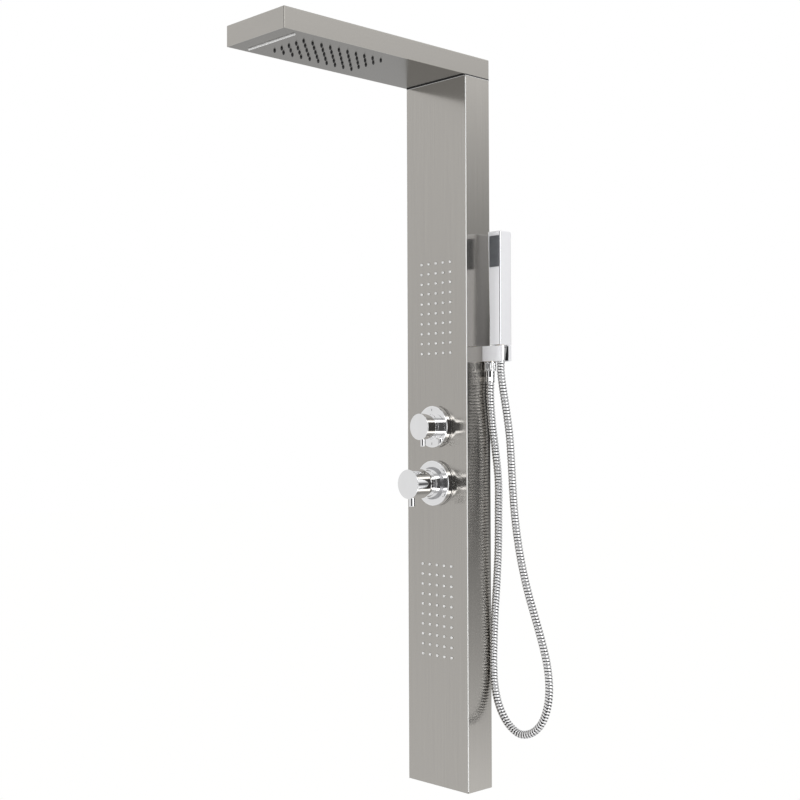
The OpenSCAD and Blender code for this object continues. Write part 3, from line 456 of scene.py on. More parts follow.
@dataclass(frozen=True)
class Machined:
    """Turned or cast metal inside the panel, with tool marks and patches of dull skin."""

    slot: str
    colour: tuple[float, float, float]
    roughness: float = 0.3
    gloss_change: tuple[float, float] = (-0.08, 0.12)
    dull_tone: float = 0.78
    patch_scale: float = 45.0
    mark_scale: float = 1400.0
    mark_depth: float = 0.00001

    def material(self) -> bpy.types.Material:
        """Tool marks vary the gloss, and broad patches vary the colour.

        Returns:
            The material.
        """
        shader = Shader(f"machined_{self.slot}")
        dim = tuple(self.dull_tone * part for part in self.colour)
        patches = shader.noise(self.patch_scale, 4.0)
        shader.feed("Base Color", shader.colours(patches, dim, self.colour))
        marks = shader.noise(self.mark_scale, 2.0)
        bright, dull = (self.roughness + change for change in self.gloss_change)
        shader.feed("Roughness", shader.spread(marks, bright, dull))
        shader.relief(marks, self.mark_depth, 0.5)
        shader.set(metallic=1.0)
        return shader.material


@dataclass(frozen=True)
class BraidedTube:
    """Clear flexible tube with a crossed thread braid under its skin."""

    slot: str = "feed_hose"
    gap: tuple[float, float, float] = (0.42, 0.44, 0.45)
    thread: tuple[float, float, float] = (0.80, 0.81, 0.80)
    thread_edge: tuple[float, float] = (0.72, 0.86)
    thread_tilt: float = 0.8
    thread_scale: float = 60.0
    thread_depth: float = 0.00008
    gloss_scale: float = 150.0
    gloss: tuple[float, float] = (0.22, 0.34)

    def material(self) -> bpy.types.Material:
        """Two slanted bands of thread cross on Object coordinates.

        Returns:
            The material.
        """
        shader = Shader("braided_feed_tube")
        crossed = shader.node("ShaderNodeMath")
        crossed.operation = "MAXIMUM"
        for index, tilt in enumerate((self.thread_tilt, -self.thread_tilt)):
            place = shader.place((1.0, 1.0, 1.0), (tilt, tilt, 0.0))
            wave = shader.node("ShaderNodeTexWave", vector=place, scale=self.thread_scale)
            shader.tree.links.new(wave.outputs["Fac"], crossed.inputs[index])
        braid = crossed.outputs[0]
        colour = shader.colours(braid, self.gap, self.thread, self.thread_edge)
        shader.feed("Base Color", colour)
        shader.feed("Roughness", shader.spread(shader.noise(self.gloss_scale, 2.0), *self.gloss))
        shader.relief(braid, self.thread_depth, 0.5)
        return shader.material


Finish = BrushedSteel | Polished | PearlChrome | SpiralSteel | Moulded | Machined | BraidedTube

STEEL_UP = BrushedSteel(Grain.UP)
STEEL_FORWARD = BrushedSteel(Grain.FORWARD)
# Painted highlight: pale, dull colour for thin strips over the column's upright folds, standing for
# the reflection along them
FOLD_PAINTED_HIGHLIGHT = Moulded("polished_chrome", (0.86, 0.855, 0.84), (0.90, 0.895, 0.88), 0.30)
JET_SILICONE = Polished("clear_silicone", (0.95, 0.95, 0.94), 0.05)
# Painted reflection: pale white moulding for the waterfall spout's polished lip, standing for the
# pale floor that it reflects
LIP_PAINTED_REFLECTION = Moulded("white_plastic", (0.92, 0.92, 0.92), (0.95, 0.95, 0.95), 0.25)
# Painted shade: a darker copy of the brushed steel, tone 0.205 against 0.48, for the underside of
# the head, where less light reaches
UNDERSIDE_STEEL_PAINTED_SHADE = BrushedSteel(Grain.FORWARD, name="underside_painted_shade_steel", tone=0.205, roughness=0.17)
CHROME = Polished()
PEARL = PearlChrome()
SATIN = Machined("satin_ring", (0.50, 0.50, 0.51), 0.36)
HOSE_STEEL = SpiralSteel()
RUBBER = Moulded("dark_rubber", (0.012, 0.012, 0.013), (0.022, 0.022, 0.024), 0.55)
BLACK_SILICONE = Moulded("black_silicone", (0.010, 0.010, 0.011), (0.020, 0.020, 0.021), 0.38)
GREY_SILICONE = Moulded("grey_silicone", (0.085, 0.090, 0.098), (0.115, 0.120, 0.128), 0.42)
WHITE_PLASTIC = Moulded("white_plastic", (0.86, 0.86, 0.85), (0.93, 0.93, 0.92), 0.30)
ZINC_STEEL = Machined("plain_steel", (0.62, 0.63, 0.65), 0.38)
BRASS = Machined("brass", (0.80, 0.58, 0.27), 0.30)
CARTRIDGE = Moulded("cartridge_plastic", (0.60, 0.58, 0.50), (0.70, 0.68, 0.60), 0.42)
FEED_TUBE = BraidedTube()


class FinishShelf:
    """Keeps one Blender material for each finish."""

    def __init__(self) -> None:
        """Starts empty."""
        self.made: dict[Finish, bpy.types.Material] = {}

    def get(self, finish: Finish) -> bpy.types.Material:
        """The finish's material, made the first time it is asked for.

        Args:
            finish: the finish wanted.

        Returns:
            Its material.
        """
        if finish not in self.made:
            self.made[finish] = finish.material()
        return self.made[finish]


SHELF = FinishShelf()


# ---------------------------------------------------------------- surfaces


def grid_faces(rows: int, columns: int, close_rows: bool) -> np.ndarray:
    """Quads between neighbours of a grid whose rows are closed rings.

    Args:
        rows: number of rows.
        columns: points in each row.
        close_rows: whether the last row joins the first.

    Returns:
        Vertex numbers, four to a face.
    """
    i, j = np.meshgrid(
        np.arange(rows if close_rows else rows - 1), np.arange(columns), indexing="ij"
    )
    below, beside = (i + 1) % rows, (j + 1) % columns
    quads = [i * columns + j, i * columns + beside, below * columns + beside, below * columns + j]
    return np.stack(quads, axis=-1).reshape(-1, 4)


def rounded_profile(corners: list[tuple[float, float, float]], steps: int = 6) -> np.ndarray:
    """Open line through corners, each turned by an arc of its own radius.

    An arc touches both straights at radius / tan(half the corner's angle), and a guard point
    just outside each end keeps the straights' shading flat.

    Args:
        corners: two coordinates and the radius of each corner; the ends have radius 0.
        steps: points along each arc.

    Returns:
        The line's points, one a row.
    """
    points = np.array([corner[:2] for corner in corners])
    line = [points[:1]]
    for before, here, after, radius in zip(
        points, points[1:], points[2:], (corner[2] for corner in corners[1:-1])
    ):
        if radius <= 0.0:
            line.append(here[None])
            continue
        back = (before - here) / np.linalg.norm(before - here)
        ahead = (after - here) / np.linalg.norm(after - here)
        half = 0.5 * math.acos(float(np.clip(back @ ahead, -1.0, 1.0)))
        reach = radius / math.tan(half)
        middle = here + (back + ahead) / np.linalg.norm(back + ahead) * radius / math.sin(half)
        start, end = here + back * reach - middle, here + ahead * reach - middle
        sweep = math.pi - 2.0 * half
        share = np.linspace(0.0, 1.0, steps)[:, None]
        swing = np.sin((1 - share) * sweep) * start + np.sin(share * sweep) * end
        arc = middle + swing / math.sin(sweep)
        line += [(here + back * (reach + GUARD))[None], arc, (here + ahead * (reach + GUARD))[None]]
    return np.concatenate([*line, points[-1:]])


def turned(profile: np.ndarray, steps: int) -> np.ndarray:
    """Surface of revolution: each profile point (radius, height) goes round the local Z axis.

    Args:
        profile: radius and height of each row.
        steps: points round the axis.

    Returns:
        Grid of points.
    """
    angle = np.linspace(0.0, FULL_TURN, steps, endpoint=False)
    radius, height = profile[:, :1], profile[:, 1:]
    return np.stack(
        [radius * np.cos(angle), radius * np.sin(angle), height + 0.0 * angle], axis=-1
    )


def fluted(profile: np.ndarray, depths: np.ndarray, flutes: int, steps: int = 192) -> np.ndarray:
    """Surface of revolution whose radius dips flutes times round by its row's depth.

    Args:
        profile: radius and height of each row.
        depths: depth of the flutes in each row.
        flutes: how many go round.
        steps: points round the axis.

    Returns:
        Grid of points.
    """
    grid = turned(profile, steps)
    angle = np.linspace(0.0, FULL_TURN, steps, endpoint=False)
    dip = depths[:, None] * (0.5 + 0.5 * np.cos(flutes * angle)) ** 2
    radius = profile[:, :1]
    grid[..., :2] *= ((radius - dip) / radius)[..., None]
    return grid


def soft_ring(
    half_x: float, half_y: float, radius: float, inset: float, steps: int = 7
) -> np.ndarray:
    """Rectangle with round corners, moved inwards by inset.

    Args:
        half_x: half its width.
        half_y: half its depth.
        radius: corner radius before the inset.
        inset: distance moved inwards.
        steps: points along each corner.

    Returns:
        Closed outline, the same number of points whatever the inset.
    """
    corner = max(radius - inset, LEAST_RADIUS)
    turn = np.linspace(0.0, 0.25 * FULL_TURN, steps)
    outline = []
    for quarter, (side_x, side_y) in enumerate(((1, 1), (-1, 1), (-1, -1), (1, -1))):
        angle = turn + 0.25 * FULL_TURN * quarter
        centre = np.array([side_x * (half_x - inset - corner), side_y * (half_y - inset - corner)])
        arc = centre + corner * np.stack([np.cos(angle), np.sin(angle)], axis=-1)
        leave = np.array([-math.sin(angle[-1]), math.cos(angle[-1])]) * GUARD
        arrive = np.array([-math.sin(angle[0]), math.cos(angle[0])]) * GUARD
        outline += [(arc[0] - arrive)[None], arc, (arc[-1] + leave)[None]]
    return np.concatenate(outline)


def out_of_panel(grid: np.ndarray, front_y: float, height: float) -> np.ndarray:
    """Turns local +Z to point out of the column's face and local +Y to point up.

    Args:
        grid: local points.
        front_y: the face's y.
        height: the axis's z.

    Returns:
        The points in the model's frame.
    """
    return np.stack([grid[..., 0], front_y - grid[..., 2], height + grid[..., 1]], axis=-1)


def at_level(outline: np.ndarray, level: float) -> np.ndarray:
    """Lays flat points at one height, as rows of x, y and z."""
    return np.column_stack([outline, np.full(len(outline), level)])


def on_front(flat: np.ndarray, y: float, centre: np.ndarray) -> np.ndarray:
    """Stands flat points up in a plane of one y, about a centre's x and z.

    Args:
        flat: across and up, one point a row.
        y: the plane's y.
        centre: the point they go round.

    Returns:
        The points in the model's frame.
    """
    return np.column_stack([centre[0] + flat[:, 0], np.full(len(flat), y), centre[2] + flat[:, 1]])


def spray_grid(across: int, along: int, pitch: float) -> np.ndarray:
    """Places of nozzles in straight rows, centred on zero.

    Args:
        across: how many in a row.
        along: how many rows.
        pitch: distance between neighbours.

    Returns:
        Two coordinates of each place.
    """
    x, y = ((np.arange(count) - 0.5 * (count - 1)) * pitch for count in (across, along))
    return np.stack(np.meshgrid(x, y), axis=-1).reshape(-1, 2)


class Piece:
    """Collects grids and caps, and makes one closed mesh piece of them."""

    def __init__(self, name: str, finish: Finish) -> None:
        """Starts an empty piece.

        Args:
            name: the piece's name.
            finish: its finish.
        """
        self.name = name
        self.finish = finish
        self.points: list[np.ndarray] = []
        self.faces: list[list[int]] = []
        self.count = 0

    def grid(self, points: np.ndarray, close_rows: bool = False) -> Piece:
        """Adds a grid of points, each row a closed ring.

        Args:
            points: rows by columns by three.
            close_rows: whether the last row joins the first.

        Returns:
            The piece itself.
        """
        quads = grid_faces(*points.shape[:2], close_rows) + self.count
        self.faces += quads.tolist()
        self.points.append(points.reshape(-1, 3))
        self.count += points.shape[0] * points.shape[1]
        return self

    def stack(self, rings: np.ndarray) -> Piece:
        """Adds rings one above another, closed at its ends by flat faces.

        Args:
            rings: rings by points by three.

        Returns:
            The piece itself.
        """
        start, columns = self.count, rings.shape[1]
        self.grid(rings)
        last = start + (rings.shape[0] - 1) * columns
        self.faces.append(list(range(start + columns - 1, start - 1, -1)))
        self.faces.append(list(range(last, last + columns)))
        return self

    def copies(self, shape: np.ndarray, places: np.ndarray) -> Piece:
        """Adds the same small grid at many places.

        Args:
            shape: the grid, round its own origin.
            places: where each copy goes.

        Returns:
            The piece itself.
        """
        rows, columns = shape.shape[:2]
        quads = grid_faces(rows, columns, False)
        size = rows * columns
        starts = self.count + size * np.arange(len(places))
        self.faces += (quads[None] + starts[:, None, None]).reshape(-1, 4).tolist()
        self.points.append((shape.reshape(1, -1, 3) + places[:, None, :]).reshape(-1, 3))
        self.count += size * len(places)
        return self

    def make(
        self,
        body: str,
        *replaced: str,
        sharp: float = 32.0,
        bevel: float = 0.0,
        bevel_from: float = 40.0,
        merge: bool = True,
    ) -> bpy.types.Object:
        """Makes the object, rides it on its body and hides the nodes it stands for.

        Args:
            body: the body it moves with; "" leaves it unattached.
            replaced: the nodes it stands for.
            sharp: angle in degrees past which an edge stays sharp.
            bevel: width of a live bevel on its sharp edges.
            bevel_from: angle in degrees past which an edge is bevelled.
            merge: whether points that fall together are joined and normals made outward.

        Returns:
            The object.
        """
        mesh = bpy.data.meshes.new(self.name)
        mesh.from_pydata(np.concatenate(self.points).tolist(), [], self.faces)
        if merge:
            work = bmesh.new()
            work.from_mesh(mesh)
            bmesh.ops.remove_doubles(work, verts=work.verts, dist=MERGE_WITHIN)
            bmesh.ops.recalc_face_normals(work, faces=work.faces)
            work.to_mesh(mesh)
            work.free()
        mesh.shade_smooth()
        mesh.set_sharp_from_angle(angle=math.radians(sharp))
        mesh.materials.append(SHELF.get(self.finish))
        made = bpy.data.objects.new(self.name, mesh)
        bpy.context.scene.collection.objects.link(made)
        if bevel > 0.0:
            soften = made.modifiers.new("soft_edges", "BEVEL")
            soften.width = bevel
            soften.segments = 3
            soften.limit_method = "ANGLE"
            soften.angle_limit = math.radians(bevel_from)
            soften.harden_normals = True
        if body:
            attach(made, body)
        if replaced:
            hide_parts(*replaced)
        LOG.info("%s: %d points, rides %s", self.name, len(mesh.vertices), body or "a blend")
        return made


def box_of(node: str) -> tuple[np.ndarray, np.ndarray]:
    """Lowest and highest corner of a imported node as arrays."""
    low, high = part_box(node)
    return np.array(low), np.array(high)


# ---------------------------------------------------------------- studio

Stops = tuple[tuple[float, float], ...]


@dataclass
class Studio:
    """Camera, pale floor, white surround and soft light."""

    camera_place: tuple[float, float, float] = (1.69994, -1.78272, 0.00023)
    azimuth: float = 46.4085
    elevation: float = -0.9517
    roll: float = -0.2054
    lens: float = 60.32
    sensor: float = 36.0
    near: float = 0.05
    far: float = 40.0
    floor_drop: float = 0.35
    floor_half: float = 12.0
    floor_tone: tuple[float, float, float, float] = (1.0, 1.0, 0.995, 1.0)
    light_size: tuple[float, float] = (1.6, 1.0)
    light_power: float = 14.0
    light_place: tuple[float, float, float] = (-0.6, -2.6, 1.9)
    light_turn: tuple[float, float, float] = (52.0, 0.0, -12.0)
    horizon: Stops = (
        (0.00, 0.25),
        (0.08, 0.40),
        (0.18, 0.76),
        (0.38, 0.76),
        (0.40, 0.08),
        (0.575, 0.08),
        (0.59, 3.2),
        (0.645, 3.2),
        (0.66, 0.04),
        (0.82, 0.05),
        (0.90, 0.35),
        (1.00, 0.25),
    )
    upper: Stops = (
        (0.00, 0.80),
        (0.18, 0.83),
        (0.38, 0.83),
        (0.56, 1.6),
        (0.65, 1.6),
        (0.69, 0.98),
        (0.82, 0.98),
        (1.00, 0.80),
    )
    opening: Stops = ((0.0, 0.0), (0.38, 0.0), (0.40, 1.0), (0.565, 1.0), (0.585, 0.0))
    lamps: Stops = (
        (0.0, 0.08),
        (0.45, 0.08),
        (0.48, 3.2),
        (0.57, 3.2),
        (0.61, 0.6),
        (0.80, 0.25),
    )
    rise: Stops = ((0.03, 0.0), (0.10, 0.30), (0.15, 0.47), (0.20, 0.68), (0.26, 1.0))
    crown: Stops = ((0.70, 0.0), (0.85, 1.0))
    ceiling: Stops = ((0.70, 0.25), (1.0, 0.85))

    def axes(self) -> np.ndarray:
        """The camera's own directions, rolled about its line of sight.

        Returns:
            Right, up and back, one a row.
        """
        a, e, r = (math.radians(x) for x in (self.azimuth, self.elevation, self.roll))
        back = np.array([math.sin(a) * math.cos(e), -math.cos(a) * math.cos(e), math.sin(e)])
        right = np.array([math.cos(a), math.sin(a), 0.0])
        up = np.cross(back, right)
        level = np.stack([right, up, back])
        roll = np.eye(3)
        roll[:2, :2] = [[math.cos(r), math.sin(r)], [-math.sin(r), math.cos(r)]]
        return roll @ level

    def set_camera(self) -> None:
        """Makes the camera and gives it to the scene."""
        data = bpy.data.cameras.new("camera")
        data.lens = self.lens
        data.sensor_width = self.sensor
        data.clip_start, data.clip_end = self.near, self.far
        camera = bpy.data.objects.new("camera", data)
        columns = np.eye(4)
        columns[:3, :3] = self.axes()
        columns[3, :3] = self.camera_place
        camera.matrix_world = columns.tolist()
        bpy.context.scene.collection.objects.link(camera)
        bpy.context.scene.camera = camera

    def set_world(self) -> None:
        """White surround to look at, and a soft studio of its own to reflect.

        Round the panel the studio's walls differ: pale to the left, a dark opening where the
        camera stands with a long lamp above and below it, a bright wall to its right, and soft
        grey behind. Each wall grows brighter away from the horizon.
        """
        world = bpy.data.worlds.new("studio")
        world.use_nodes = True
        bpy.context.scene.world = world
        tree = world.node_tree
        tree.nodes.clear()
        new, link = tree.nodes.new, tree.links.new

        def ramp(value: bpy.types.NodeSocket, stops: Stops) -> bpy.types.NodeSocket:
            """Grey ramp, straight between its stops.

            Args:
                value: the socket that drives it.
                stops: position and brightness of each stop.

            Returns:
                The grey's socket.
            """
            made = new("ShaderNodeValToRGB")
            elements = made.color_ramp.elements
            while len(elements) < len(stops):
                elements.new(0.5)
            for element, (where, level) in zip(elements, stops):
                element.position = where
                element.color = (level, level, level, 1.0)
            link(value, made.inputs[0])
            return made.outputs[0]

        def blend(
            share: bpy.types.NodeSocket, first: bpy.types.NodeSocket, second: bpy.types.NodeSocket
        ) -> bpy.types.NodeSocket:
            """Mixes two greys, first * (1 - share) + second * share.

            Args:
                share: how much of the second is in it.
                first: one grey's socket.
                second: the other grey's socket.

            Returns:
                The mixed grey's socket.
            """
            made = new("ShaderNodeMix")
            made.data_type = "RGBA"
            for value, index in ((share, 0), (first, 6), (second, 7)):
                link(value, made.inputs[index])
            return made.outputs[2]

        coords = new("ShaderNodeTexCoord")
        turn = new("ShaderNodeMapping")
        turn.inputs["Rotation"].default_value = (0.0, 0.0, math.radians(90.0 - self.azimuth))
        link(coords.outputs["Generated"], turn.inputs[0])
        round_about = new("ShaderNodeTexGradient")
        round_about.gradient_type = "RADIAL"
        link(turn.outputs[0], round_about.inputs[0])
        compass = round_about.outputs["Fac"]
        split = new("ShaderNodeSeparateXYZ")
        link(coords.outputs["Generated"], split.inputs[0])
        height = new("ShaderNodeMath")
        height.operation = "ABSOLUTE"
        link(split.outputs[2], height.inputs[0])
        tall = height.outputs[0]

        level = blend(ramp(tall, self.rise), ramp(compass, self.horizon), ramp(compass, self.upper))
        level = blend(ramp(compass, self.opening), level, ramp(tall, self.lamps))
        level = blend(ramp(tall, self.crown), level, ramp(tall, self.ceiling))
        studio = new("ShaderNodeBackground")
        link(level, studio.inputs[0])
        white = new("ShaderNodeBackground")
        white.inputs[0].default_value = (1.0, 1.0, 1.0, 1.0)
        path = new("ShaderNodeLightPath")
        mix = new("ShaderNodeMixShader")
        out = new("ShaderNodeOutputWorld")
        link(path.outputs["Is Camera Ray"], mix.inputs[0])
        link(studio.outputs[0], mix.inputs[1])
        link(white.outputs[0], mix.inputs[2])
        link(mix.outputs[0], out.inputs[0])

    def set_floor(self) -> None:
        """Plain pale floor below the panel, seen from above only."""
        half, level = self.floor_half, CAD_BOX[0][2] - self.floor_drop
        mesh = bpy.data.meshes.new("floor")
        corners = [(x * half, y * half, level) for x, y in ((-1, -1), (1, -1), (1, 1), (-1, 1))]
        mesh.from_pydata(corners, [], [(0, 1, 2, 3)])
        material = bpy.data.materials.new("pale_floor")
        material.use_nodes = True
        tree = material.node_tree
        tree.nodes.clear()
        glow = tree.nodes.new("ShaderNodeEmission")
        glow.inputs[0].default_value = self.floor_tone
        clear = tree.nodes.new("ShaderNodeBsdfTransparent")
        facing = tree.nodes.new("ShaderNodeNewGeometry")
        mix = tree.nodes.new("ShaderNodeMixShader")
        out = tree.nodes.new("ShaderNodeOutputMaterial")
        tree.links.new(facing.outputs["Backfacing"], mix.inputs[0])
        tree.links.new(glow.outputs[0], mix.inputs[1])
        tree.links.new(clear.outputs[0], mix.inputs[2])
        tree.links.new(mix.outputs[0], out.inputs[0])
        mesh.materials.append(material)
        floor = bpy.data.objects.new("floor", mesh)
        floor.visible_glossy = False
        bpy.context.scene.collection.objects.link(floor)

    def set_light(self) -> None:
        """One large soft light above and in front of the panel."""
        data = bpy.data.lights.new("soft_box", "AREA")
        data.shape = "RECTANGLE"
        data.size, data.size_y = self.light_size
        data.energy = self.light_power
        light = bpy.data.objects.new("soft_box", data)
        light.location = self.light_place
        light.rotation_euler = [math.radians(angle) for angle in self.light_turn]
        light.visible_glossy = False
        bpy.context.scene.collection.objects.link(light)

    def build(self) -> None:
        """Sets the camera, the world, the floor and the light."""
        self.set_camera()
        self.set_world()
        self.set_floor()
        self.set_light()
        bpy.context.scene.view_settings.view_transform = "Standard"


# ---------------------------------------------------------------- hose


@dataclass
class ShowerHose:
    """Interlocked steel hose that hangs from the outlet to the handset's cone nut.

    Its two limbs are lists of points in millimetres, the first from the outlet's axis and the
    second up to the seat's, both from the level of the bracket's foot.
    """

    outlet_limb: tuple[tuple[float, float, float], ...] = (
        (0.0, 0.0, -37.5), (0.0, 0.0, -65.5), (-0.5, 4.6, -107.5), (2.0, 10.2, -157.5),
        (5.7, 13.5, -212.5), (5.7, 13.5, -272.5), (4.7, 13.5, -332.5), (1.8, 12.5, -392.5),
        (-1.6, 11.0, -447.5), (-3.7, 10.2, -497.5), (-3.9, 9.4, -539.5), (-1.1, 9.7, -577.5),
        (8.4, 11.0, -611.5), (26.8, 12.5, -638.5), (53.7, 13.5, -652.5),
    )
    handset_limb: tuple[tuple[float, float, float], ...] = (
        (63.7, 6.5, -645.5), (85.7, 7.0, -624.5), (98.2, 7.0, -593.5), (101.2, 7.0, -559.5),
        (96.2, 7.0, -522.5), (84.2, 7.0, -483.5), (69.2, 7.0, -443.5), (54.2, 7.0, -403.5),
        (41.2, 7.0, -359.5), (31.2, 7.0, -314.5), (24.2, 7.0, -267.5), (20.2, 7.0, -221.5),
        (17.2, 7.0, -175.5), (14.3, 6.0, -131.5), (8.8, 4.0, -87.5), (3.5, 1.0, -47.5),
        (0.0, 0.0, -19.5), (0.0, 0.0, 0.0),
    )
    end_inset: float = 0.0115
    radius: float = 0.007
    groove_depth: float = 0.0011
    turn_pitch: float = 0.0056
    rings_per_turn: int = 9
    sides: int = 28
    stretch_steps: int = 40
    slack_from: float = 0.36
    slack_to: float = 0.66
    fittings: tuple[str, ...] = ()

    def route(self) -> np.ndarray:
        """The two limbs' points, placed under the outlet and the seat.

        Returns:
            Points in the model's frame, from the outlet to the seat.
        """
        low, high = box_of("bracket_block")
        nut_low, nut_high = box_of("hose_outlet_nut")
        ends = np.array(
            [
                [low[0] + self.end_inset, 0.5 * (nut_low[1] + nut_high[1]), low[2]],
                [high[0] - self.end_inset, 0.5 * (low[1] + high[1]), low[2]],
            ]
        )
        outlet, seat = np.round(ends, BOX_PLACES)
        return np.vstack(
            [outlet + MM * np.array(self.outlet_limb), seat + MM * np.array(self.handset_limb)]
        )

    def centreline(self) -> np.ndarray:
        """Smooth curve through the route's points, evenly spaced along its length.

        Each stretch between two points is a cubic that leaves along the line joining its
        neighbours, and the curve is then sampled again at equal steps of arc length.

        Returns:
            The curve's points, one a row.
        """
        knots = self.route()
        before = np.vstack([2 * knots[0] - knots[1], knots[:-2]])
        after = np.vstack([knots[2:], 2 * knots[-1] - knots[-2]])
        start, end = knots[:-1], knots[1:]
        t = np.linspace(0.0, 1.0, self.stretch_steps, endpoint=False)[None, :, None]
        leave, arrive = 0.5 * (end - before)[:, None], 0.5 * (after - start)[:, None]
        cubic = (
            (2 * t**3 - 3 * t**2 + 1) * start[:, None]
            + (t**3 - 2 * t**2 + t) * leave
            + (3 * t**2 - 2 * t**3) * end[:, None]
            + (t**3 - t**2) * arrive
        )
        dense = np.vstack([cubic.reshape(-1, 3), knots[-1:]])
        run = np.concatenate([[0.0], np.cumsum(np.linalg.norm(np.diff(dense, axis=0), axis=1))])
        count = int(run[-1] / self.turn_pitch * self.rings_per_turn)
        even = np.linspace(0.0, run[-1], count)
        return np.stack([np.interp(even, run, dense[:, k]) for k in range(3)], axis=-1)

    def surface(self, line: np.ndarray) -> tuple[np.ndarray, np.ndarray]:
        """Rings round the line, grooved along a helix of one turn each pitch.

        Args:
            line: evenly spaced points of the centreline.

        Returns:
            The rings, and how deep in the groove each of their points lies, from 0 to 1.
        """
        ahead = np.gradient(line, axis=0)
        ahead /= np.linalg.norm(ahead, axis=1, keepdims=True)
        side = np.cross(ahead, [0.0, 1.0, 0.0])
        side /= np.linalg.norm(side, axis=1, keepdims=True)
        up = np.cross(side, ahead)
        angle = np.linspace(0.0, FULL_TURN, self.sides, endpoint=False)
        turns = np.arange(len(line))[:, None] / self.rings_per_turn - angle / FULL_TURN
        crown = np.abs(2.0 * (turns % 1.0) - 1.0)
        groove = crown**2
        radius = (self.radius - self.groove_depth * groove)[..., None]
        across = np.cos(angle)[None, :, None] * side[:, None]
        spoke = across + np.sin(angle)[None, :, None] * up[:, None]
        return line[:, None] + radius * spoke, groove

    def build(self) -> None:
        line = self.centreline()
        rings, groove = self.surface(line)
        piece = Piece("shower_hose_spiral", HOSE_STEEL)
        piece.stack(rings)
        hose = piece.make("", "shower_hose", merge=False, sharp=80.0)
        # Groove depth of each point, which the hose's material also reads to paint shade into the
        # joints
        depth = hose.data.attributes.new("groove", "FLOAT", "POINT")
        depth.data.foreach_set("value", groove.astype(np.float32).ravel())
        self.follow_lift(hose, len(line))

    def follow_lift(self, hose: bpy.types.Object, rings: int) -> None:
        """Lays the mesh out straight along X by its arc length, applies the object's transform to
        it, and puts the points back.

        Args:
            hose: the hose.
            rings: number of rings along it.
        """
        lying = np.empty(len(hose.data.vertices) * 3, np.float32)
        hose.data.vertices.foreach_get("co", lying)
        share = np.repeat(np.linspace(0.0, 1.0, rings), self.sides)
        straight = np.zeros((len(share), 3), np.float32)
        straight[:, 0] = share
        hose.data.vertices.foreach_set("co", straight.ravel())
        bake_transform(hose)
        hose.data.vertices.foreach_set("co", lying)
        hose.data.update()


